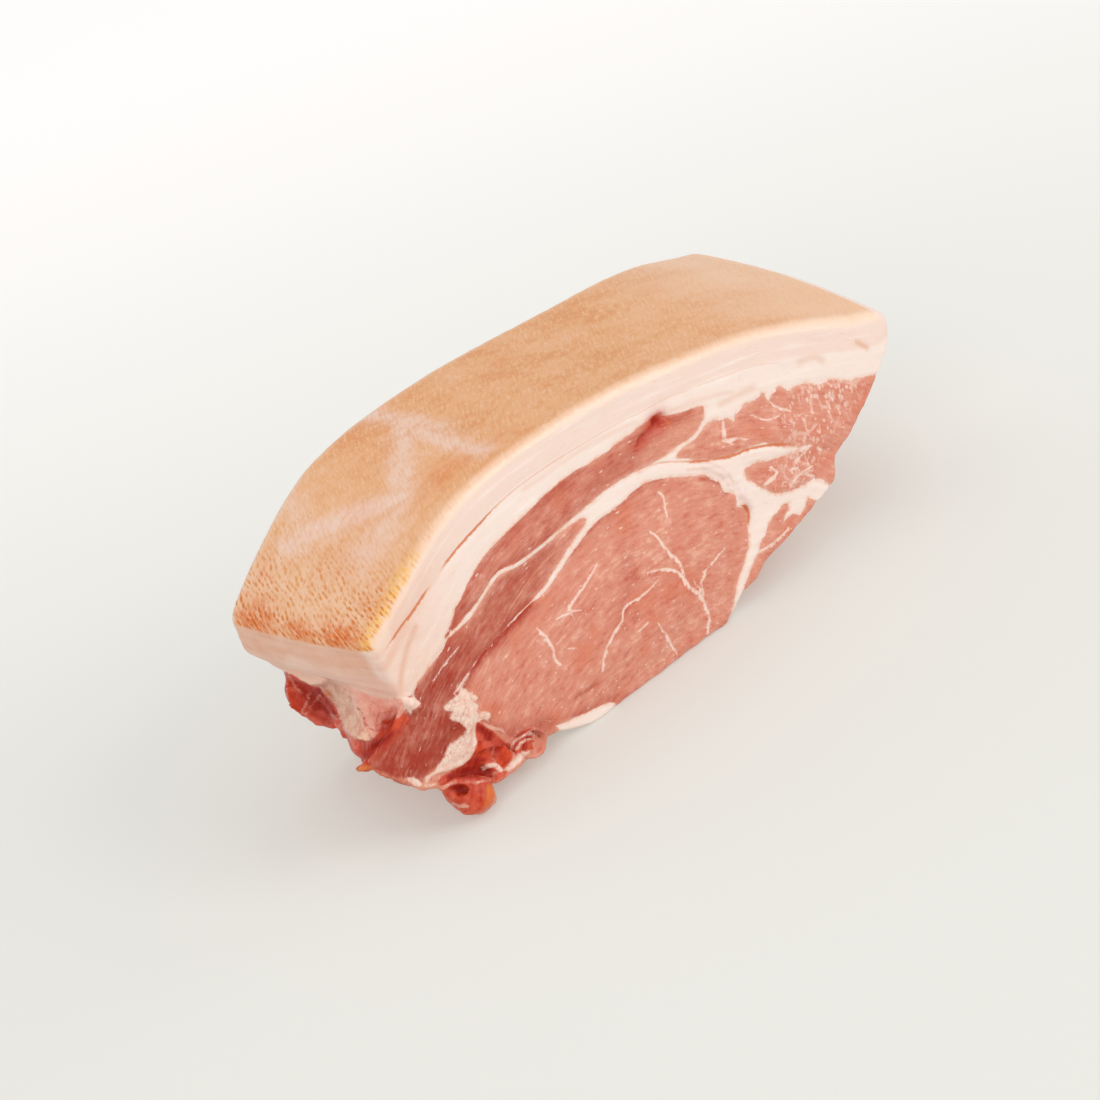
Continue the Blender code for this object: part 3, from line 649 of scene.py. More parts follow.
cornerStrokes = dict(
    light=(
        (((-78.4, -37.4), (-76.4, -40.6), (-74.3, -42.8)), 0.3),
        (((-72, -42.8), (-73, -46.1), (-74.3, -48.8)), 0.32),
        (((-68.8, -43.4), (-70.8, -46.1), (-71.9, -48.3), (-73.5, -49.4)), 0.28),
        (((-65.5, -49.4), (-63.7, -51.1)), 0.35),
        (((-64.4, -52.4), (-61.1, -54.5)), 0.3),
        (((-62.7, -51.8), (-60.8, -55.1), (-58.4, -59.3)), 0.3),
        (((-68.5, -41.3), (-67, -43.4), (-65.3, -45.3), (-63.9, -47.5), (-63, -49.9), (-62.3, -52.6),
         (-60.3, -54.9), (-58.4, -56.6)), 0.35),
        (((-19.6, -52.2), (-17.5, -53.3), (-14.3, -53.9)), 0.4),
        (((-32.1, -71.5), (-30.3, -70.2), (-28.4, -69.4)), 0.45),
        (((-22.6, -70), (-20.2, -69.3), (-18, -68.9)), 0.3),
        (((-28.9, -75.8), (-27.3, -76.4), (-25, -76.2)), 0.3),
        (((-27.3, -77), (-24.5, -76.9)), 0.25),
        (((-24, -36.8), (-25.5, -39.8), (-27.3, -42.5)), 0.3),
        (((-16.9, -59.7), (-17.5, -61.9), (-16.6, -63.7)), 0.3),
        (((-78.8, -39.3), (-78.8, -43.4), (-78.3, -46.7), (-76.6, -49)), 0.25),
    ),
    cream=(
        (((-11.7, -60.1), (-10.7, -57.8), (-8.3, -55.9), (-4.6, -54.8), (-1.5, -55.7), (0, -57.8),
          (0.4, -60.8)), 0.4),
        (((-10, -59.8), (-8.7, -57.8), (-6.3, -56.7), (-3.2, -57.1), (-1.8, -58.8), (-2.9, -60.1),
          (-5.2, -59.9)), 0.3),
        (((-20, -65.4), (-18.2, -64.6), (-16, -64.8), (-14.9, -66)), 0.7),
    ),
    red=(
        (((-58.1, -47.2), (-56.6, -48.8), (-55.9, -51.5), (-54.4, -53.3), (-52.3, -54.3)), 0.22),
        (((-52.3, -54.3), (-49.6, -53.7), (-48.4, -52.6), (-49.4, -51.8), (-51.7, -52.5)), 0.2),
        (((-52.4, -65.3), (-51.2, -65.8), (-48.5, -66.1), (-44.6, -65.8)), 0.2),
        (((-10.6, -59.4), (-9.5, -57), (-6.4, -55.8), (-3.2, -56), (-1, -57.8), (-0.8, -60)), 0.2),
        (((-10.9, -56), (-8.4, -54.4), (-5.7, -53.5), (-2.7, -53.1)), 0.3),
        (((1.4, -48.6), (2.4, -49.5)), 0.4),
        (((-42.5, -44), (-40.9, -43.4), (-39.5, -41.6)), 0.2),
    ),
    amber=(
        (((-59.7, -53.6), (-59.2, -53.8)), 0.35),
        (((-58.5, -54.4), (-58, -54.7)), 0.25),
        (((-57.3, -49.8), (-57.1, -50.1)), 0.25),
    ),
)

# Soft darker bands along seams and strips: the points, the reach and the strength
seamShades = (
    (((-45, 36.6), (-42, 39.4), (-36, 42), (-28, 44.2), (-20, 46), (-12, 47.6)), 2, 1.5),
    (((-44, 54), (-40, 57.4), (-36, 60.4)), 3.4, 0.9),
    (((-36, 60.4), (-25, 67.4), (-10, 71.6), (5, 74.4), (20, 75.2)), 1.7, 0.5),
    (((-34, 57.4), (-27, 60.2), (-20, 64), (-8, 63.6), (6, 64.4)), 1.2, 0.5),
    (((-60, 46), (-50, 44), (-40, 47), (-28, 51), (-14, 56), (0, 59.6)), 3, 0.55),
    (((-84, 35), (-74, 32), (-62, 26), (-52, 21)), 5, 0.5),
    (((-70, 36), (-58, 34), (-52, 32)), 3, 0.45),
    (((9, 53.6), (17, 56.4), (27, 57.2), (37, 58.4), (48, 56.6)), 1.3, 0.4),
    (((62, 48.4), (66, 46), (69, 42.5), (70.6, 38.6)), 0.9, 0.9),
    (((22, 69.6), (32, 70.4), (40, 68.6)), 2.6, 0.4),
    (((54, 73.2), (60, 70.8), (66, 69.4)), 1.3, 0.65),
    (((-41, 24.8), (-38, 20.6), (-36, 17.2), (-33.4, 14.2), (-27, 13.2), (-20, 11.1)), 0.9, 0.7),
    (((-10, 6.4), (2, 4.2), (9, 1)), 1.6, 0.5),
    (((0, 12), (-5.6, 12.6), (-9, 12.2)), 0.9, 0.75),
    (((12, 13.6), (14.6, 15.6)), 0.9, 0.6),
    (((15, 25), (22, 36), (26, 44)), 4, 0.3),
    (((-36, 17), (-30, 13.6), (-20, 10)), 2.2, 0.6),
    (((103, 60.6), (109, 57.2), (112, 55.6)), 0.9, 0.5),
    (((98, 57), (101, 60.4), (96, 61.6)), 1.6, 0.35),
)
# and the crack below the hollow in the top strip, which is only in the front
cracks = (
    (((39.6, 68.2), (44.2, 71.2), (47.9, 72.8), (53.6, 74.4)), 1.7, 0.7),
    (((40.4, 68.9), (44.2, 71.2), (47.9, 72.6), (51.4, 73)), 0.6, 1.4),
)
# The same for the fat: beige folds
fatShades = (
    (((-64, 49), (-60.4, 55), (-56, 60), (-51, 64)), 1, 0.75),
    (((-66, 58), (-60, 62.6), (-54, 66.4)), 1.1, 0.35),
    (((0, 81.2), (14, 81.6), (30, 80.6), (46, 78.4)), 0.7, 0.35),
    (((60, 74.6), (76, 70.4), (84, 67.2)), 0.8, 0.35),
    (((78, 66.2), (86, 65.4), (92, 64.4)), 1.2, 0.45),
    (((112, 62.4), (118, 60.8), (121, 57.8)), 1.1, 0.45),
    (((136, 56.4), (139.6, 52.2)), 0.9, 0.8),
    (((58, 54.2), (63, 51.8), (67, 48.6), (70, 44.6), (72, 40)), 0.4, 0.6),
    (((60, 55.8), (65.4, 52.6), (69.6, 48.8), (72.4, 44.4), (74, 39)), 0.4, 0.5),
)
# How lines and areas are read, in mm: the steps between two points, the furthest distance that counts,
# how far a line shows beside it and past its ends, and how softly the outline's change is shared out
reading = dict(lineSteps=4, areaSteps=3, far=9.0, fade=3.2, tip=0.8, share=3.0, sharePower=-1.6)


def lineFields(flat, lines):
    # the signed distance to the nearest line and its half width there, which dies out away from it
    far, count = reading["far"], reading["lineSteps"]
    gap = np.full(len(flat), far)
    width = np.zeros(len(flat))
    for points, widths in lines:
        line = curveThrough(points, count, closed=False)
        signed, along, past = nearLine(flat, line)
        steps = np.concatenate(([0.0], np.cumsum(np.hypot(*np.diff(line, axis=0).T))))
        here = np.interp(along, steps[::count], widths) * np.clip(1.0 - past / reading["tip"], 0.0, 1.0)
        here = here * np.clip(2.0 - np.abs(signed) / reading["fade"] * 2.0, 0.0, 1.0)
        nearer = (np.abs(signed) - here < np.abs(gap) - width) & (here > 0.0)
        gap = np.where(nearer, signed, gap)
        width = np.where(nearer, here, width)
    return np.clip(gap, -far, far), width


def leanField(flat, outlines):
    best = np.full(len(flat), -reading["far"])
    for outline in outlines:
        best = np.maximum(best, insideField(flat, curveThrough(outline, reading["areaSteps"])))
    return best


def toFront(places):
    # where points lie in the section of the front cut: the outline's own change from front to back
    # carries the anatomy with it
    blend = shareBlend(places[:, 0], places[:, 1])
    change = outlineRows[:, 2:] - outlineRows[:, :2]
    rowX = outlineRows[:, 0] + change[:, 0] * blend[:, None]
    rowZ = outlineRows[:, 1] + change[:, 1] * blend[:, None]
    square = (places[:, 0, None] - rowX) ** 2 + (places[:, 2, None] - rowZ) ** 2
    weight = (square + reading["share"] ** 2) ** reading["sharePower"]
    weight /= weight.sum(axis=1)[:, None]
    shift = np.stack((weight @ change[:, 0], weight @ change[:, 1]), axis=1) * blend[:, None]
    return places[:, [0, 2]] - shift


wander = dict(size=34.0, most=7.0, squeeze=1.4, below=(10.0, 24.0), seeds=(21, 22))


def wandered(flat, across, through, depth):
    # the muscles wander a little on their way through, the ones under the rind not at all
    noisePlace = np.stack((flat[:, 0], across * wander["squeeze"], flat[:, 1]), axis=1)
    sideways = np.stack([latticeNoise(noisePlace, wander["size"], seed) for seed in wander["seeds"]], axis=1)
    return flat + sideways * (through * wander["most"] * smooth(depth, *wander["below"]))[:, None]


flat = toFront(places)
rindLine = curveThrough(outlineRows[:len(rindRows), :2], reading["lineSteps"], closed=False)
rindGap, rindRun, rindPast = nearLine(flat, rindLine)
rindDepth = np.abs(rindGap)
rindRun = rindRun - rindPast * (flat[:, 0] < 0.0)
across = places[:, 1]
backGap = thickness(places[:, 0]) - across
through = np.clip(across / thickness(places[:, 0]), 0.0, 1.0)
anatomy = wandered(flat, across, through, rindDepth)
x, z = anatomy[:, 0], anatomy[:, 1]

leans = np.stack([leanField(anatomy, leanOutlines[key]) for key in ("first", "second", "third")], axis=1)
whiteGap, whiteWidth = lineFields(anatomy, whiteLines)
branchGap, branchWidth = lineFields(anatomy, whiteBranches)
redGap, redWidth = lineFields(anatomy, redLines)
leanMost = leans.max(axis=1)
print("anatomy worked out")

# Fibres run in arcs round a middle far below the eye
grain = dict(middle=(25.0, -70.0), reach=118.0)
fromMiddle = anatomy - np.array(grain["middle"])
fibreRun = np.arctan2(fromMiddle[:, 0], fromMiddle[:, 1]) * grain["reach"]
fibreOut = np.hypot(fromMiddle[:, 0], fromMiddle[:, 1])

# how far each point lies in a hollow, near and wide; the paint adds painted shade in crevices from these
cavityNear = cavityOf(meatField, places, 2)
cavityWide = cavityOf(meatField, places, 6)


def softBands(flat, bands):
    total = np.zeros(len(flat))
    for line, reach, strength in bands:
        gap = nearLine(flat, curveThrough(line, reading["lineSteps"], closed=False))[0]
        total = np.maximum(total, strength * np.exp(-(gap / reach) ** 2))
    return total


def spot(dx, dz, halfX, halfZ):
    return np.exp(-(dx / halfX) ** 2 - (dz / halfZ) ** 2)


rindMarks = dict(
    thick=1.5, cutEdge=0.6,         # the skin's depth, and what the cuts leave free of it
    turnX=-61.0, turnZ=65.4,        # where it turns down over the fat at the belly end
    # follicles as shares that fade in from the first run to the second
    follicles=((0.3, 70.0, 36.0), (0.4, 42.0, 20.0), (0.3, 24.0, 8.0)),
    yellowAcross=(8.0, 1.5), yellowRun=(36.0, 22.0),  # the front corner
    # stains at the belly end: run, across, their reaches and the strength
    stains=((0.6, 56, 6, 12, 1), (0.4, 14, 5.5, 15, 1), (0, 34, 3.6, 14, 0.9), (12, 8, 7, 9, 0.5),
            (11, 60, 5, 7, 0.4), (20, 28, 9, 16, 0.3), (35, 34, 6, 8, 0.3), (58, 15, 12, 6, 0.55),
            (78, 10, 10, 6, 0.3), (116, 62, 6, 7, 0.3), (184, 60, 5, 9, 0.3)),
    # pale bands as strength, width and (run, across) points, from a pattern of vessels and folds
    bands=((0.9, 4.0, ((77, 80), (75.7, 72.6), (75.4, 60), (74.5, 46), (73.2, 32), (71.5, 21), (71.3, 10))),
           (0.85, 4.2, ((74, 53.5), (67, 45), (61, 38.5), (51.6, 28.5), (46, 23))),
           (1.0, 4.0, ((20, 58), (24.7, 50.5), (28.4, 44.9), (32.8, 38.5), (38, 31), (46.6, 24))),
           (0.55, 3.4, ((36, 78), (33, 70), (31.6, 60.6), (25, 55), (20, 49))),
           (0.75, 7.0, ((47, 23), (39, 21), (33, 19.4), (24.7, 22.7)))),
)


def skinField():
    # positive on the outer skin between the cuts, and on the strip that turns down at the belly end
    between = np.minimum(across - rindMarks["cutEdge"], backGap - rindMarks["cutEdge"])
    outer = np.minimum(np.minimum(rindMarks["thick"] - rindDepth, between), 2.0 - rindPast * 2.0)
    turned = np.minimum(flat[:, 1] - rindMarks["turnZ"], -flat[:, 0] + rindMarks["turnX"])
    return np.maximum(outer, np.minimum(turned, between))


def fadeDown(value, start, end):
    # 0 from start on and 1 below end
    return smooth(-value, -start, -end)


def rindFields():
    # pale bands, follicles, stains and the yellow corner, each from 0 to 1
    place = np.stack((rindRun, across), axis=1)
    shake = latticeNoise(place, 9.0, 31) * 1.6 + latticeNoise(place, 3.2, 33) * 0.9
    band = np.zeros(len(places))
    for strength, width, line in rindMarks["bands"]:
        gap, _, past = nearLine(place, curveThrough(line, reading["lineSteps"], closed=False))
        reach = np.hypot(np.maximum(np.abs(gap + shake) - 0.6, 0.0), past)
        band = np.maximum(band, np.exp(-(reach / width) ** 2) * strength)
    follicles = sum(share * fadeDown(rindRun, start, end) for share, start, end in rindMarks["follicles"])
    shaken = place + np.stack((shake, np.roll(shake, 1)), axis=1) * 0.8
    stain = np.zeros(len(places))
    for run, side, runReach, sideReach, strength in rindMarks["stains"]:
        mark = spot(shaken[:, 0] - run, shaken[:, 1] - side, runReach, sideReach)
        stain = np.maximum(stain, strength * mark)
    yellow = fadeDown(across, *rindMarks["yellowAcross"]) * fadeDown(rindRun, *rindMarks["yellowRun"])
    return band, follicles, stain, yellow


# Tinted places of the section: the middle, the half sizes and the strength
tintSpots = dict(
    marble=((116, 46, 22, 12, 1), (96, 31, 14, 8, 0.7)),
    pale=((60, 66.5, 11, 3.2, 1),),
    rust=((53.6, 74.2, 3.8, 3.2, 1.5), (45.5, 71.4, 4, 1.9, 1)),
)
tintFades = dict(
    strip=(30.0, 52.0), stripRest=(-20.0, 10.0), top=(57.5, 60.5), topSlope=0.1,  # the darker lean
    marble=(0.2, 0.8), rustMost=1.2,
    front=(14.0, 5.0), fatFront=(5.0, 1.0),    # what only the front shows, as distances behind it
    frayRight=(66.0, 82.0), frayLeft=(28.0, 44.0),
    endX=(58.0, 63.0), endAcross=(1.0, 7.0), endRest=(20.0, 58.0),  # the fat's end face
)


def tintOf(name):
    return sum(strength * spot(x - middleX, z - middleZ, halfX, halfZ)
               for middleX, middleZ, halfX, halfZ, strength in tintSpots[name])


def darkStripField():
    # the long strip is dark at the belly end and less so over the eye, the top strip a little
    longStrip = smooth(leans[:, 1], -0.5, 2.0)
    topStrip = smooth(leans[:, 0], -0.5, 1.0)
    dark = smooth(-x, *tintFades["strip"]) * longStrip
    dark = dark + 0.5 * longStrip * smooth(-x, *tintFades["stripRest"]) * (1 - dark)
    top = smooth(z - tintFades["topSlope"] * x, *tintFades["top"])
    return dark + 0.3 * topStrip * top * (1 - dark)


skin = skinField()
band, follicles, stain, yellow = rindFields()
marble = smooth(tintOf("marble"), *tintFades["marble"])
darkStrip = darkStripField()
paleMuscle = tintOf("pale") * smooth(leans[:, 0], -0.5, 1.0)
frontPart = fadeDown(across, *tintFades["front"])
rust = np.clip(tintOf("rust"), 0.0, tintFades["rustMost"]) * frontPart
shade = np.maximum(softBands(anatomy, seamShades), softBands(anatomy, cracks) * frontPart)
fatShade = softBands(anatomy, fatShades) * fadeDown(across, *tintFades["fatFront"])
fray = smooth(x, *tintFades["frayRight"]) + 0.5 * smooth(-x, *tintFades["frayLeft"])
endFat = np.maximum(smooth(-flat[:, 0], *tintFades["endX"]) * smooth(across, *tintFades["endAcross"]),
                    0.4 * smooth(-flat[:, 0], *tintFades["endRest"]))


def makeMesh(name, places, quads):
    mesh = bpy.data.meshes.new(name)
    mesh.vertices.add(len(places))
    mesh.vertices.foreach_set("co", (places - np.array(chop["sectionMiddle"])).ravel() * mm)
    mesh.loops.add(quads.size)
    mesh.loops.foreach_set("vertex_index", quads.ravel())
    mesh.polygons.add(len(quads))
    mesh.polygons.foreach_set("loop_start", np.arange(0, quads.size, 4))
    mesh.update(calc_edges=True)
    mesh.validate()
    return mesh


def normalsOf(mesh):
    normals = np.empty(len(mesh.vertices) * 3)
    mesh.vertex_normals.foreach_get("vector", normals)
    return normals.reshape(-1, 3)


def onPicture(places):
    # where section points show on the picture plane through the view's middle
    right, up, back = (np.array(axis) for axis in viewAxes())
    rel = places - np.array(chop["sectionMiddle"]) - np.array(view["target"]) * metre
    near = 1.0 - rel @ back / (view["distance"] * metre)
    return np.stack((rel @ right / near, rel @ up / near), axis=1)


# The belly corner: the part of the picture that it takes up, and how far tones reach past their areas
cornerPart = dict(right=-5.0, top=-28.0, reach=3.0, facing=(-0.05, 0.12))
chopMesh = makeMesh("chop_meat", places, quads)
normals = normalsOf(chopMesh)
facing = smooth(normals @ np.array(viewAxes()[2]), *cornerPart["facing"])
pictured = onPicture(places)
corner = (pictured[:, 0] < cornerPart["right"]) & (pictured[:, 1] < cornerPart["top"])
corner = corner & (facing > 0.0) & (places[:, 0] < 0.0)
cornerFlat = pictured[corner]


def cornerTone(name):
    # signed distance into the areas and strokes of one tone, on the side that the picture shows
    reach = cornerPart["reach"]
    found = np.full(len(cornerFlat), -reach)
    for outline in cornerAreas.get(name, ()):
        found = np.maximum(found, insideField(cornerFlat, curveThrough(outline, reading["areaSteps"])))
    for line, half in cornerStrokes.get(name, ()):
        stroke = curveThrough(line, reading["areaSteps"], closed=False)
        found = np.maximum(found, half - np.abs(nearLine(cornerFlat, stroke)[0]))
    whole = np.full(len(places), -reach)
    whole[corner] = -reach + (np.maximum(found, -reach) + reach) * facing[corner]
    return whole


tones = {name: cornerTone(name) for name in {**cornerAreas, **cornerStrokes}}
print("belly corner drawn")

# Low relief, moved along the surface: seams sink, fat layers step, lean swells unevenly
relief = dict(
    seam=0.34, seamReach=0.9, redGroove=0.5, whiteRidge=0.1, lineReach=0.8,
    lump=0.36, lumpSize=9.0, fine=0.17, fineSize=2.6, fibreSize=1.5, fibre=(3.4, 5.0, 1.3),
    frill=1.1, frillReach=1.6, frillSize=1.2,
    frillLine=((64, 51), (67, 48), (70, 45), (71.5, 41), (74, 37.5), (75, 33), (76, 29)),
    layers=0.16, layerRun=26.0, layerStep=1.9, fold=0.3, shade=0.22, rind=0.1, rindSize=12.0,
    scraps=0.45,  # the scraps and films stand a little proud: tone, share, and where it sets in
    scrapTones=(("cream", 1.0, -0.5, 0.5), ("light", 0.8, -0.5, 0.2), ("membrane", 0.6, -0.6, 0.4),
                ("red", -0.7, -0.5, 0.1)),
)


def ridgeAlong(gap, width, fullWidth):
    return np.exp(-(gap / relief["lineReach"]) ** 2) * np.clip(width / fullWidth, 0.0, 1.0)


def reliefFields():
    # the rise of each point, and the band of frill beside the eye
    onCut = smooth(-skin, -0.2, 0.6)
    leanHere = smooth(leanMost, -0.2, 0.4)
    solid = np.stack((flat[:, 0], across, flat[:, 1]), axis=1)
    long, deep, out = relief["fibre"]
    fibre = np.stack((fibreRun / long, across / deep, fibreOut / out), axis=1)
    rise = -relief["seam"] * np.exp(-(leanMost / relief["seamReach"]) ** 2)
    rise -= relief["redGroove"] * ridgeAlong(redGap, redWidth, 0.5)
    rise += relief["whiteRidge"] * ridgeAlong(whiteGap, whiteWidth, 0.4)
    rise += relief["lump"] * latticeNoise(solid, relief["lumpSize"], 41) * (0.5 + 0.5 * leanHere)
    rise += relief["fine"] * (latticeNoise(solid, relief["fineSize"], 42) * 0.6
                              + latticeNoise(fibre, relief["fibreSize"], 43) * leanHere)
    frillLine = curveThrough(relief["frillLine"], reading["lineSteps"], closed=False)
    gap, run, past = nearLine(anatomy, frillLine)
    frillBand = np.exp(-((gap - 1.0) / relief["frillReach"]) ** 2) * np.clip(1 - past / 2, 0, 1)
    frillPlace = np.stack((run / relief["frillReach"], gap), axis=1)
    rise += relief["frill"] * frillBand * latticeNoise(frillPlace, relief["frillSize"], 44)
    layerPlace = np.stack((rindRun / relief["layerRun"], rindDepth / relief["layerStep"]), axis=1)
    layers = latticeNoise(layerPlace, 1.0, 46)
    rise += relief["layers"] * layers * (1.0 - leanHere) - relief["fold"] * fatShade
    rise -= relief["shade"] * shade * leanHere
    rise += relief["scraps"] * sum(share * smooth(tones[name], low, high)
                                   for name, share, low, high in relief["scrapTones"])
    rise *= onCut
    rise += relief["rind"] * latticeNoise(solid, relief["rindSize"], 45) * (1 - onCut)
    return rise, frillBand


rise, frillBand = reliefFields()
places = places + normals * rise[:, None]
places[:, 2] = np.maximum(places[:, 2], 0.0)
bpy.data.meshes.remove(chopMesh)
chopMesh = makeMesh("chop_meat", places, quads)
chopMesh.polygons.foreach_set("use_smooth", np.ones(len(quads), bool))


def keep(name, *columns):
    # one vector attribute of the mesh from three numbers for each point
    columns = list(columns) + [np.zeros(len(places))] * (3 - len(columns))
    attribute = chopMesh.attributes.new(name, "FLOAT_VECTOR", "POINT")
    attribute.data.foreach_set("vector", np.stack(columns, axis=1).astype(np.float32).ravel())


keep("solidPlace", flat[:, 0], across, flat[:, 1])
keep("fibrePlace", fibreRun, across, fibreOut)
keep("rindPlace", rindRun, across, rindDepth)
keep("leans", leans[:, 0], leans[:, 1], leans[:, 2])
keep("whites", whiteGap, whiteWidth, fray)
keep("branches", branchGap, branchWidth, endFat)
keep("reds", redGap, redWidth)
keep("covers", skin, marble, paleMuscle)
keep("tints", darkStrip, rust, cavityNear)
keep("shades", shade, fatShade, frillBand)
keep("rindMarks", band, follicles, stain)
keep("rindEdges", yellow, np.minimum(across, backGap), cavityWide)
keep("cornerBase", tones["fat"], tones["wine"], tones["mauve"])
keep("cornerTop", tones["membrane"], tones["bright"], tones["deep"])
keep("cornerMarks", tones["cream"], tones["light"], tones["red"])
keep("cornerSpots", tones["amber"], tones["lip"], tones["rim"])

chopPiece = bpy.data.objects.new("chop_meat", chopMesh)
bpy.context.scene.collection.objects.link(chopPiece)
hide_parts("pork_chop")
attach(chopPiece, "root")
print("chop made")


class Wire:
    # a socket that plain arithmetic can be done with

    def __init__(self, paint, socket):
        self.paint = paint
        self.socket = socket

    def maths(self, operation, *others):
        return self.paint.add("ShaderNodeMath", dict(operation=operation), dict(enumerate((self,) + others)))

    def __add__(self, other):
        return self.maths("ADD", other)

    def __mul__(self, other):
        return self.maths("MULTIPLY", other)

    def __sub__(self, other):
        return self.maths("SUBTRACT", other)

    def __rsub__(self, other):
        return self.paint.add("ShaderNodeMath", dict(operation="SUBTRACT"), {0: other, 1: self})

    def __truediv__(self, other):
        return self.maths("DIVIDE", other)

    def __abs__(self):
        return self.maths("ABSOLUTE")

    __radd__ = __add__
    __rmul__ = __mul__


class Paint:
    def __init__(self, name):
        self.material = bpy.data.materials.new(name)
        self.material.use_nodes = True
        self.tree = self.material.node_tree
        self.tree.nodes.clear()

    def add(self, kind, settings=None, inputs=None, output=0):
        node = self.tree.nodes.new(kind)
        for key, value in (settings or {}).items():
            setattr(node, key, value)
        for key, value in (inputs or {}).items():
            if isinstance(value, Wire):
                self.tree.links.new(value.socket, node.inputs[key])
            elif value is not None:
                node.inputs[key].default_value = value
        return Wire(self, node.outputs[output]) if node.outputs else None

    def most(self, a, b):
        return a.maths("MAXIMUM", b)

    def step(self, value, low, high, start=0.0, end=1.0):
        return self.add("ShaderNodeMapRange", dict(interpolation_type="SMOOTHSTEP"),
                        {"Value": value, "From Min": low, "From Max": high, "To Min": start, "To Max": end})

    def mix(self, factor, a, b):
        return self.add("ShaderNodeMix", dict(data_type="RGBA"), {0: factor, 6: a, 7: b}, 2)

    def attribute(self, name):
        return self.add("ShaderNodeAttribute", dict(attribute_name=name), None, "Vector")

    def parts(self, vector):
        node = self.tree.nodes.new("ShaderNodeSeparateXYZ")
        self.tree.links.new(vector.socket, node.inputs[0])
        return [Wire(self, node.outputs[k]) for k in range(3)]

    def scaled(self, vector, factors):
        return self.add("ShaderNodeVectorMath", dict(operation="MULTIPLY"), {0: vector, 1: factors})

    def noise(self, vector, scale, detail=2.0, roughness=0.5):
        # from about -0.5 to 0.5
        made = self.add("ShaderNodeTexNoise", None, {"Vector": vector, "Scale": scale, "Detail": detail,
                                                     "Roughness": roughness}, "Fac")
        return made - 0.5

    def cells(self, vector, scale, randomness=1.0, output="Distance", feature="F1"):
        return self.add("ShaderNodeTexVoronoi", dict(feature=feature),
                        {"Vector": vector, "Scale": scale, "Randomness": randomness}, output)


def colour(red, green, blue):
    # from 8-bit screen values to the linear ones that shaders take
    shares = [value / 255 for value in (red, green, blue)]
    return tuple(((v + 0.055) / 1.055) ** 2.4 if v > 0.04 else v / 12.92 for v in shares) + (1.0,)


screenColours = dict(
    # lean
    lean=(219, 143, 120), leanLight=(235, 178, 157), leanDeep=(200, 100, 76), leanWarm=(216, 118, 86),
    leanHaze=(238, 192, 172), stripDark=(160, 50, 30), seam=(170, 40, 20), paleMuscle=(230, 164, 136),
    # hollow is painted shade for the crevices and the darkest hollows
    rust=(196, 62, 36), hollowShade=(140, 14, 4), fleckAndGlint=(248, 220, 204), vein=(245, 215, 200),
    # fat and membranes
    fat=(244, 226, 216), fatPink=(240, 214, 201), fatWhite=(249, 237, 229), fatEnd=(219, 158, 126),
    fatEndPale=(230, 184, 158), fatFold=(222, 162, 126), frill=(238, 214, 208), membrane=(214, 118, 68),
    membranePale=(234, 176, 144),
    # the near belly corner
    wine=(184, 50, 32), wineLight=(214, 98, 74), wineFilm=(222, 146, 124), mauve=(230, 156, 136),
    mauveLight=(242, 190, 168), film=(234, 194, 166), filmPink=(216, 152, 126), bright=(208, 70, 30),
    brightDeep=(180, 38, 8), lip=(202, 72, 38), rim=(220, 142, 110), cream=(242, 217, 200),
    scrap=(232, 186, 166), redLine=(180, 44, 20), amber=(232, 140, 62),
    # rind
    rindBase=(228, 168, 118), rindPale=(236, 194, 160), rindWarm=(221, 150, 94), rindBand=(236, 202, 184),
    rindEdgeAndHighlight=(244, 219, 197), rindPeach=(232, 179, 142), follicle=(211, 114, 16),
    follicleDeep=(196, 84, 10), follicleFaint=(224, 152, 84), stain=(219, 108, 8), yellow=(244, 186, 70),
)
look = {name: colour(*screen) for name, screen in screenColours.items()}

meatNoise = dict(
    # scale for each mm, detail and roughness
    broad=(0.06, 2.0, 0.5), middle=(0.2, 3.0, 0.55), ragged=(0.55, 4.0, 0.6), fine=(1.5, 3.0, 0.65),
    grain=(2.6, 2.0, 0.7),
)
# Places stretched along the fibres, the rind or the fat's end, as factors for each axis
stretch = dict(
    streak=(0.2, 0.18, 0.8), streakFine=(0.75, 0.5, 2.5), flecksAndGlints=(0.3, 0.24, 0.72), glints=(0.5, 0.5, 1.3),
    partings=(1.15, 0.9, 0.8), seeds=(1.2, 0.9, 0.85),
    fatLayers=(0.035, 0.05, 0.5), fatEnd=(0.15, 0.06, 0.35),
    rindBroad=(0.035, 0.05, 0.0), rindFine=(0.8, 0.8, 0.0), mottle=(0.22, 0.3, 0.0), smear=(1.3, 3.0, 1.0),
    dots=(1.9, 0.9, 1.0),
)
rindGrain = dict(
    slant=(0.85, 0.53), hairStretch=0.12,    # the hair lines' direction, and how long they are
    dotSlant=0.42, dotRun=1.6, dotAcross=2.1,  # follicles stand in slanting rows, mm apart
)
meatFinish = dict(bumpHeight=0.001, specular=0.14, coatRoughness=0.24, rindRoughness=0.48,
                  scatter=0.2, scatterRadius=(1.0, 0.42, 0.28), scatterScale=0.0022)


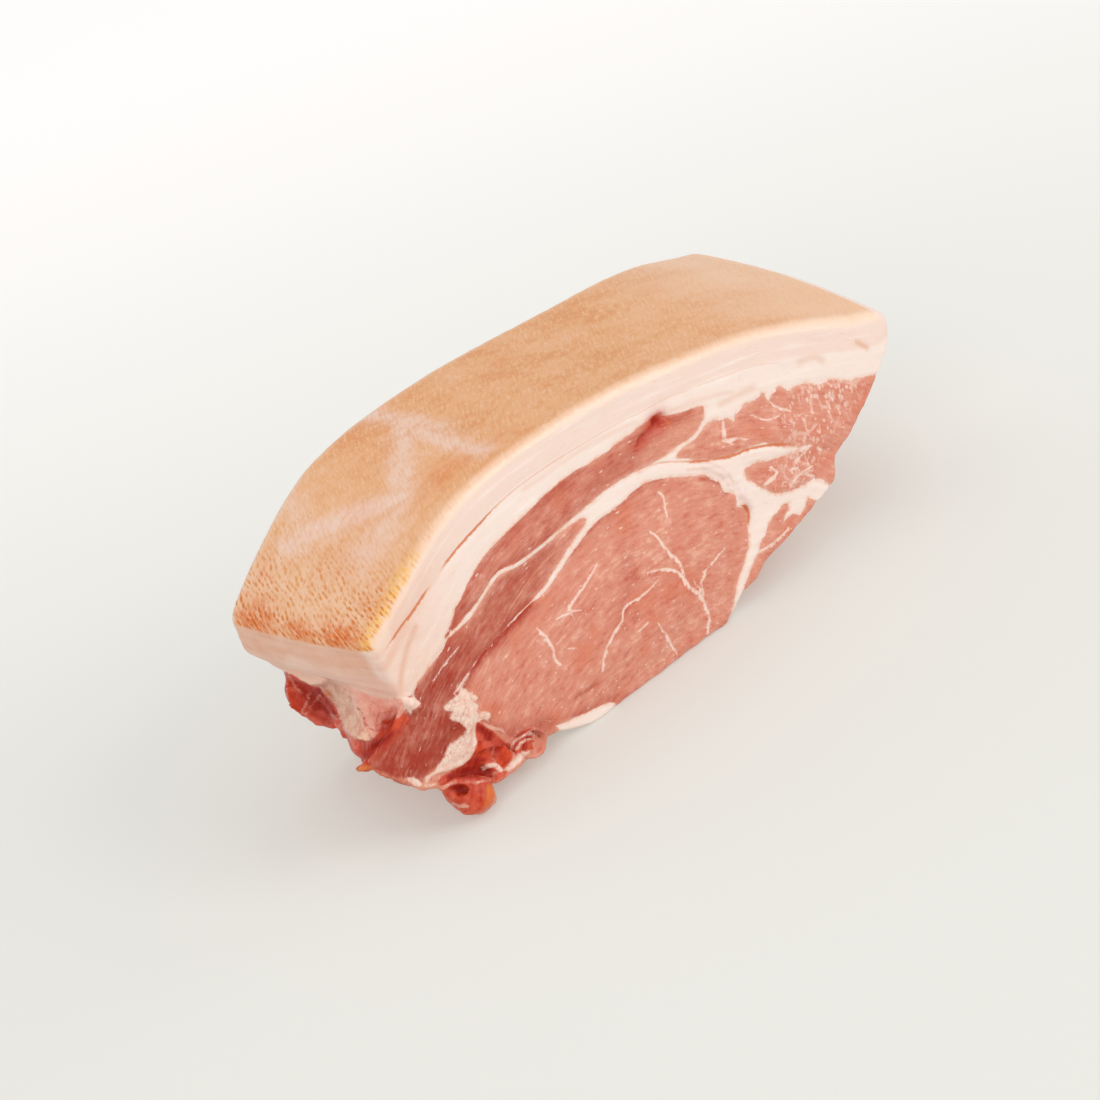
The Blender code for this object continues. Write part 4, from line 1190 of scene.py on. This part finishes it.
def surfaceFields(p):
    # the mesh's attributes and the noises that all parts of the meat share
    f = SimpleNamespace()
    f.solid, f.fibre, f.rindPlace = (p.attribute(name) for name in ("solidPlace", "fibrePlace", "rindPlace"))
    f.leanA, f.leanB, f.leanC = p.parts(p.attribute("leans"))
    f.whiteGap, f.whiteWidth, f.fray = p.parts(p.attribute("whites"))
    f.branchGap, f.branchWidth, f.endFat = p.parts(p.attribute("branches"))
    f.redGap, f.redWidth, _ = p.parts(p.attribute("reds"))
    f.skin, f.marble, f.paleMuscle = p.parts(p.attribute("covers"))
    f.darkStrip, f.rust, f.cavity = p.parts(p.attribute("tints"))
    f.shade, f.fatShade, f.frill = p.parts(p.attribute("shades"))
    f.band, f.follicles, f.stain = p.parts(p.attribute("rindMarks"))
    f.yellow, f.edgeGap, f.cavityWide = p.parts(p.attribute("rindEdges"))
    f.cornerFat, f.wine, f.mauve = p.parts(p.attribute("cornerBase"))
    f.film, f.bright, f.deep = p.parts(p.attribute("cornerTop"))
    f.cream, f.light, f.redMark = p.parts(p.attribute("cornerMarks"))
    f.amber, f.lip, f.rim = p.parts(p.attribute("cornerSpots"))
    f.rindRun, f.rindAcross, f.rindDepth = p.parts(f.rindPlace)
    for name, sizes in meatNoise.items():
        setattr(f, name, p.noise(f.solid, *sizes))
    f.streak = p.noise(p.scaled(f.fibre, stretch["streak"]), 1.0, 3.0, 0.58)
    f.streakFine = p.noise(p.scaled(f.fibre, stretch["streakFine"]), 1.0, 2.0, 0.65)
    inLean = p.most(p.most(f.leanA, f.leanB), f.leanC)
    f.leanMost = inLean + (f.ragged * 1.4 + f.middle * 2.4) * (0.45 + f.fray) + f.fine * 0.7
    f.leanMask = p.step(f.leanMost, -0.26, 0.26)
    f.tone = (f.streak * 1.3 + f.middle * 0.9 + f.ragged * 0.35 + f.fine * 0.35 + f.grain * 0.25
              + f.streakFine * 0.35 + f.broad * 0.6)
    return f


def leanColour(p, f):
    # deep and light fibres in a middling tone, darker strips, seams and the pale muscle
    lean = p.mix(p.step(f.tone, 0.02, -0.42, 0.0, 0.75), look["lean"], look["leanDeep"])
    lean = p.mix(p.step(f.tone, 0.0, 0.4, 0.0, 0.75), lean, look["leanLight"])
    lean = p.mix(p.step(f.middle * 0.5 - f.broad, -0.02, 0.22, 0.0, 0.5), lean, look["leanWarm"])
    lean = p.mix(f.darkStrip * p.step(f.tone, -0.4, 0.4, 1.0, 0.5), lean, look["stripDark"])
    haze = p.step(f.leanMost, 1.8, 0.1) * p.step(f.ragged - f.shade * 0.6, -0.25, 0.2)
    lean = p.mix(haze * 0.4, lean, look["leanHaze"])
    lean = p.mix(f.shade * p.step(f.tone, -0.4, 0.4, 1.0, 0.55) * 0.8, lean, look["seam"])
    return p.mix(f.paleMuscle * p.step(f.streakFine, -0.2, 0.2, 0.4, 0.9), lean, look["paleMuscle"])


def withFlecksAndGlints(p, f, lean):
    # small flecks of fat along the fibres, partly painted wet highlights, and fine specks of painted
    # highlight
    place = p.scaled(f.fibre, stretch["flecksAndGlints"])
    cell = p.cells(place, 0.9)
    pick, size, _ = p.parts(p.cells(place, 0.9, output="Color"))
    f.flecksAndGlints = p.step(cell + f.fine * 0.3 - size * 0.07, 0.16, 0.06) * p.step(pick, 0.58, 0.66)
    glints = p.step(p.noise(p.scaled(f.fibre, stretch["glints"]), 1.0, 1.0, 0.5), 0.22, 0.3)
    return p.mix(p.most(f.flecksAndGlints * 0.6, glints * 0.3), lean, look["fleckAndGlint"])


def withMarbling(p, f, lean):
    # bundles parted by broken pale lines, with seeds of fat between
    bend = p.add("ShaderNodeTexNoise", None,
                 {"Vector": f.solid, "Scale": 0.3, "Detail": 3.0, "Roughness": 0.6}, "Color")
    crook = p.add("ShaderNodeVectorMath", dict(operation="MULTIPLY_ADD"),
                  {0: bend, 1: (2.4, 2.4, 2.4), 2: f.solid})
    gap = p.cells(p.scaled(crook, stretch["partings"]), 0.17, feature="DISTANCE_TO_EDGE")
    broken = p.step(p.noise(f.solid, 0.3, 2.0, 0.5), -0.1, 0.1)
    partings = p.step(gap + f.fine * 0.08, 0.09, 0.01) * broken
    place = p.scaled(crook, stretch["seeds"])
    cell = p.cells(place, 0.55)
    pick, size, _ = p.parts(p.cells(place, 0.55, output="Color"))
    seeds = p.step(cell + f.ragged * 0.5 + f.fine * 0.3 - size * 0.2, 0.42, 0.14) * p.step(pick, 0.25, 0.5)
    return p.mix(p.most(partings * 0.5, seeds * 0.7) * f.marble, lean, look["vein"])


def fatColour(p, f):
    # layers along the rind, pinkish outside and whiter inside, folds, the end face and the frill
    f.layers = p.noise(p.scaled(f.rindPlace, stretch["fatLayers"]), 1.0, 3.0, 0.6)
    inside = p.step(f.rindDepth + f.middle * 1.5, 9.6, 11.2)
    fat = p.mix(inside * 0.75, look["fatPink"], look["fat"])
    fat = p.mix(p.step(f.layers + f.fine * 0.2, 0.0, 0.3, 0.0, 0.7), fat, look["fatWhite"])
    fat = p.mix(p.step(f.layers + f.ragged * 0.3, -0.05, -0.35, 0.0, 0.55), fat, look["fatPink"])
    fat = p.mix(p.step(abs(f.layers), 0.012, 0.002) * p.step(f.middle, 0.0, 0.15) * 0.3, fat, look["fatFold"])
    fat = p.mix(f.fatShade * 0.8, fat, look["fatFold"])
    besideLean = p.step(f.leanMost, -1.4, 0.0) * p.step(f.middle + f.fine * 0.5, -0.15, 0.2, 0.15, 0.7)
    fat = p.mix(besideLean, fat, look["membranePale"])
    endStreaks = p.noise(p.scaled(f.solid, stretch["fatEnd"]), 1.0, 3.0, 0.6)
    f.fatEnd = p.mix(p.step(endStreaks + f.middle * 0.5 + f.fine * 0.2, -0.35, 0.35), look["fatEnd"],
                     look["fatEndPale"])
    fat = p.mix(f.endFat * 0.92, fat, f.fatEnd)
    # the frill's pale film, lightened as a painted highlight
    return p.mix(f.frill * p.step(f.ragged + f.fine, -0.1, 0.25, 0.25, 0.8), fat, look["frill"])


def withVeins(p, f, lean):
    # crooked, of uneven strength
    crooked = f.middle * 1.5 + f.ragged * 1.1 + f.fine * 0.5
    uneven = 1.15 + f.ragged * 3.0 + f.fine * 1.8
    veins = p.most(*(p.step(width * uneven - abs(gap + crooked), -0.32, 0.3)
                     for gap, width in ((f.whiteGap, f.whiteWidth), (f.branchGap, f.branchWidth))))
    veins = veins * f.leanMask * p.step(f.ragged + f.middle + f.fine * 0.5, -0.35, 0.15, 0.4, 0.95)
    return p.mix(veins, lean, look["vein"])


def withRedLines(p, f, meat):
    # membranes: pale where thin, orange-brown where wide; and the rust round the hollow
    reds = p.step(f.redWidth * (1.0 + f.ragged * 1.6) - abs(f.redGap + f.ragged * 0.7), -0.25, 0.2)
    tint = p.mix(p.step(f.redWidth, 0.16, 0.34), look["membranePale"], look["membrane"])
    meat = p.mix(reds * p.step(f.redWidth, 0.05, 0.4, 0.3, 0.9), meat, tint)
    return p.mix(f.rust * p.step(f.ragged + f.middle, -0.25, 0.3, 0.6, 1.0), meat, look["rust"])


def withCorner(p, f, meat):
    # the near belly corner, tone over tone
    edge = f.ragged * 0.9 + f.fine * 0.5

    def blend(value, low, high, first, second):
        return p.mix(p.step(value, low, high), first, second)

    def over(field, strength, tint, low=-0.3, high=0.35):
        return p.mix(p.step(field + edge, low, high) * strength, meat, tint)

    meat = over(f.cornerFat, 1.0, p.mix(0.4, f.fatEnd, look["fatPink"]), -1.8, 1.4)
    meat = over(f.wine, 1.0, blend(f.tone, -0.35, 0.4, look["wine"], look["wineLight"]))
    meat = over(f.mauve, 0.95, blend(f.streak + f.fine * 0.6, -0.2, 0.3, look["mauve"], look["mauveLight"]))
    meat = over(f.film, 0.95, blend(f.ragged + f.middle, -0.25, 0.2, look["filmPink"], look["film"]))
    meat = over(f.bright, p.step(f.tone, -0.4, 0.3, 1.0, 0.85),
                blend(f.tone, -0.4, 0.3, look["brightDeep"], look["bright"]), -1.0, 0.9)
    meat = over(f.lip, p.step(f.tone, -0.4, 0.3, 0.75, 0.4),
                blend(f.tone, -0.4, 0.3, look["brightDeep"], look["lip"]), -1.5, 1.0)
    meat = over(f.rim, p.step(f.tone, -0.4, 0.3, 0.5, 0.85), look["rim"], -0.9, 0.7)
    # painted shade in the darkest hollows, over the meat's dark red
    meat = over(f.deep, 0.9, blend(f.tone, -0.3, 0.3, look["hollowShade"], look["seam"]), -0.6, 0.9)
    meat = over(f.cream, p.step(f.streak + f.streakFine + f.fine, -0.5, 0.1, 0.45, 0.95),
                blend(f.ragged + f.fine * 0.5, -0.25, 0.15, look["scrap"], look["cream"]), -0.35, 0.45)
    meat = over(f.light, p.step(f.fine + f.grain, -0.3, 0.3, 0.4, 0.85),
                blend(f.wine, -0.2, 0.4, look["scrap"], look["wineFilm"]), -0.35, 0.3)
    meat = over(f.redMark, 0.85, look["redLine"], -0.25, 0.25)
    meat = over(f.amber, 0.5, look["amber"], -0.7, 0.8)
    # painted shade: the crevices of the lean turn dark red
    hollowShade = p.step(f.cavity, 0.15, 0.6) * p.step(f.cavityWide, -0.3, 0.1)
    return p.mix(hollowShade * f.leanMask * 0.8, meat, look["hollowShade"])


def rindColour(p, f):
    # peach mottling, slanting hair lines, pale bands, stains and the yellow corner
    along, aside = rindGrain["slant"]
    broad = p.noise(p.scaled(f.rindPlace, stretch["rindBroad"]), 1.0, 3.0, 0.55)
    slant = p.add("ShaderNodeCombineXYZ", None, {
        0: f.rindRun * along - f.rindAcross * aside,
        1: (f.rindRun * aside + f.rindAcross * along) * rindGrain["hairStretch"], 2: 0.0})
    f.rindBroad, f.hairs = broad, p.noise(slant, 1.3, 3.0, 0.6)
    f.rindFine = p.noise(p.scaled(f.rindPlace, stretch["rindFine"]), 1.0, 3.0, 0.65)
    f.mottle = p.noise(p.scaled(f.rindPlace, stretch["mottle"]), 1.0, 3.0, 0.6)
    f.smear = p.noise(p.scaled(slant, stretch["smear"]), 0.8, 4.0, 0.7)
    tone = broad + f.mottle * 0.6 + f.rindFine * 0.5 + f.hairs * 0.4
    rind = p.mix(p.step(tone, -0.25, 0.08), look["rindWarm"], look["rindBase"])
    rind = p.mix(p.step(tone, 0.0, 0.35, 0.0, 0.8), rind, look["rindPeach"])
    rind = p.mix(p.step(f.rindRun + broad * 40.0, 150.0, 222.0, 0.0, 0.8), rind, look["rindPale"])
    rind = p.mix(f.follicles * p.step(f.mottle, -0.2, 0.2, 0.5, 0.95), rind, look["rindPale"])
    rind = p.mix(p.step(f.hairs + f.rindFine * 0.4, 0.0, 0.25, 0.0, 0.55), rind, look["rindPale"])
    rind = p.mix(p.step(f.hairs - f.rindFine * 0.4, -0.05, -0.3, 0.0, 0.6), rind, look["rindWarm"])
    rind = p.mix(f.band * p.step(f.mottle * 0.8 + f.hairs, -0.35, 0.25, 0.3, 1.0), rind, look["rindBand"])
    # a pale band on the rind along the cut edge, part of it painted highlight
    nearEdge = p.step(f.edgeGap + f.mottle * 5.0 + f.rindFine * 3.0, 5.0, 0.4)
    rind = p.mix(nearEdge * 0.6, rind, look["rindEdgeAndHighlight"])
    stainBreak = f.smear * 1.4 + f.hairs * 1.6 + f.rindFine * 0.6 + f.stain * 0.3
    rind = p.mix(f.stain * p.step(stainBreak, -0.12, 0.42) * 0.95, rind, look["stain"])
    return p.mix(f.yellow * p.step(f.smear + f.rindFine, -0.2, 0.25, 0.15, 0.95), rind, look["yellow"])


def withFollicles(p, f, rind):
    # dashes in slanting rows
    place = p.add("ShaderNodeCombineXYZ", None, {
        0: (f.rindRun - f.rindAcross * rindGrain["dotSlant"]) / rindGrain["dotRun"] + f.rindBroad,
        1: f.rindAcross / rindGrain["dotAcross"] + f.rindBroad, 2: 0.0})
    off = p.add("ShaderNodeVectorMath", dict(operation="SUBTRACT"),
                {0: place, 1: p.cells(place, 1.0, 0.55, "Position")})
    gap = p.add("ShaderNodeVectorMath", dict(operation="LENGTH"),
                {0: p.scaled(off, stretch["dots"])}, "Value")
    pick, size, _ = p.parts(p.cells(place, 1.0, 0.55, "Color"))
    dashes = p.step(gap + f.rindFine * 0.5 + f.smear * 0.3 - size * 0.2, 0.6, 0.1)
    f.dashes = dashes * p.step(pick, 0.0, 0.6, 0.6, 1.0)
    tint = p.mix(p.step(f.stain + f.mottle * 0.5 + f.follicles * 0.3, 0.2, 0.7), look["follicleFaint"],
                 look["follicle"])
    tint = p.mix(p.step(f.stain + f.mottle * 0.4, 0.5, 1.0, 0.0, 0.8), tint, look["follicleDeep"])
    return p.mix(f.dashes * f.follicles * (1.0 - f.band * 0.8), rind, tint)


def meatBumps(p, f, skinMask):
    lean = (f.streakFine * 0.12 + f.fine * 0.2 + f.grain * 0.08 + f.flecksAndGlints * 0.05) * f.leanMask
    fat = (f.ragged * 0.16 + f.layers * 0.1 + f.fine * 0.1) * (1.0 - f.leanMask)
    skin = f.rindFine * 0.07 + f.hairs * 0.1 - f.dashes * f.follicles * 0.03
    height = (lean + fat) * (1.0 - skinMask) + skin * skinMask
    return p.add("ShaderNodeBump", None,
                 {"Strength": 1.0, "Distance": meatFinish["bumpHeight"], "Height": height})


def meatMaterial():
    p = Paint("raw_pork_meat")
    f = surfaceFields(p)
    lean = withFlecksAndGlints(p, f, leanColour(p, f))
    lean = withMarbling(p, f, lean)
    fat = fatColour(p, f)
    lean = withVeins(p, f, lean)
    meat = withRedLines(p, f, p.mix(f.leanMask, fat, lean))
    meat = withCorner(p, f, meat)
    rind = withFollicles(p, f, rindColour(p, f))
    # the rind's cut edge shows as a pale line except at the fat's end, with a painted highlight along it
    skinMask = p.step(f.skin + f.ragged * 1.2 + f.fine * 0.5, -0.6, 0.7)
    cutEdge = p.step(f.skin, -2.2, -0.2, 0.0, 0.8) * (1.0 - f.endFat * 0.9)
    base = p.mix(skinMask, p.mix(cutEdge, meat, look["rindEdgeAndHighlight"]), rind)
    # no gloss deep in the hollows
    gloss = p.step(p.most(p.most(f.deep, f.wine - 0.4), f.cavity * 4.0 - 1.6), -0.4, 0.7, 0.3, 0.04)
    cutRough = p.step(f.fine + f.streak * 0.5, -0.3, 0.3, 0.3, 0.5)
    rough = cutRough * (1.0 - skinMask) + skinMask * meatFinish["rindRoughness"]
    shader = p.add("ShaderNodeBsdfPrincipled", None, {
        "Base Color": base, "Roughness": rough, "Normal": meatBumps(p, f, skinMask),
        "Specular IOR Level": meatFinish["specular"], "Subsurface Weight": meatFinish["scatter"],
        "Subsurface Radius": meatFinish["scatterRadius"], "Subsurface Scale": meatFinish["scatterScale"],
        "Coat Weight": gloss, "Coat Roughness": meatFinish["coatRoughness"]})
    p.add("ShaderNodeOutputMaterial", None, {"Surface": shader})
    return p.material


chopMesh.materials.append(meatMaterial())
print("meat painted")


# The plain floor, the light and the camera
studio = dict(
    floorSize=30.0,
    floorNear=colour(193, 192, 186),  # a lit studio table, with painted light: a little lighter toward the back
    floorFar=colour(217, 214, 212),
    floorTurn=(-0.1, 0.8),            # metres along the view where it changes
    floorGlow=0.5,                    # keeps the shadows soft
    floorRoughness=0.85,
    floorSpecular=0.2,
    worldColour=(0.945, 0.967, 1.0, 1.0),
    worldStrength=0.57,
    cameraReach=50.0,
)
warmLight, coolLight = (1.0, 0.985, 0.95), (0.965, 0.985, 1.0)
# The lights as place, size, power, colour and the height over the origin that they are aimed at
lights = dict(
    key=((1.5, -2.4, 1.6), 1.8, 32.0, warmLight, 0.045),
    top=((-0.2, 0.5, 3.2), 3.0, 24.0, warmLight, 0.0),
    left=((-2.2, -1.9, 1.5), 2.4, 34.0, coolLight, 0.045),
    side=((2.7, -0.5, 1.25), 1.5, 8.0, warmLight, 0.045),
    back=((-0.7, 2.6, 1.6), 1.8, 6.0, warmLight, 0.045),
)


def makeFloor():
    half = studio["floorSize"] / 2
    mesh = bpy.data.meshes.new("floor")
    corners = [(-half, -half, 0), (half, -half, 0), (half, half, 0), (-half, half, 0)]
    mesh.from_pydata(corners, [], [(0, 1, 2, 3)])
    floor = bpy.data.objects.new("floor", mesh)
    bpy.context.scene.collection.objects.link(floor)
    p = Paint("pale_floor")
    turn = math.radians(view["azimuth"])
    place = p.add("ShaderNodeTexCoord", None, None, "Object")
    away = p.add("ShaderNodeVectorMath", dict(operation="DOT_PRODUCT"),
                 {0: place, 1: (-math.sin(turn), math.cos(turn), 0.0)}, "Value")
    # painted light: the floor's colour gets lighter toward the back
    tone = p.mix(p.step(away, *studio["floorTurn"]), studio["floorNear"], studio["floorFar"])
    shader = p.add("ShaderNodeBsdfPrincipled", None, {
        "Base Color": tone, "Roughness": studio["floorRoughness"],
        "Specular IOR Level": studio["floorSpecular"],
        "Emission Color": tone, "Emission Strength": studio["floorGlow"]})
    p.add("ShaderNodeOutputMaterial", None, {"Surface": shader})
    mesh.materials.append(p.material)


def softLight(name, place, size, power, tint, aimHeight):
    data = bpy.data.lights.new(name, "AREA")
    data.shape = "SQUARE"
    data.size = size
    data.energy = power
    data.color = tint
    light = bpy.data.objects.new(name, data)
    light.location = place
    toMeat = Vector((0.0, 0.0, aimHeight)) - Vector(place)
    light.rotation_euler = toMeat.to_track_quat("-Z", "Y").to_euler()
    bpy.context.scene.collection.objects.link(light)


def makeWorld():
    world = bpy.data.worlds.new("studio")
    world.use_nodes = True
    background = world.node_tree.nodes["Background"]
    background.inputs["Color"].default_value = studio["worldColour"]
    background.inputs["Strength"].default_value = studio["worldStrength"]
    bpy.context.scene.world = world


def makeCamera():
    right, up, back = viewAxes()
    data = bpy.data.cameras.new("camera")
    data.lens = view["lens"]
    data.sensor_width = view["sensor"]
    data.clip_end = studio["cameraReach"]
    camera = bpy.data.objects.new("camera", data)
    place = Vector(view["target"]) + back * view["distance"]
    camera.matrix_world = Matrix.Translation(place) @ Matrix((right, up, back)).transposed().to_4x4()
    bpy.context.scene.collection.objects.link(camera)
    bpy.context.scene.camera = camera


makeFloor()
for name, settings in lights.items():
    softLight(name, *settings)
makeWorld()
makeCamera()
bpy.context.scene.view_settings.view_transform = "Standard"
print("studio made")
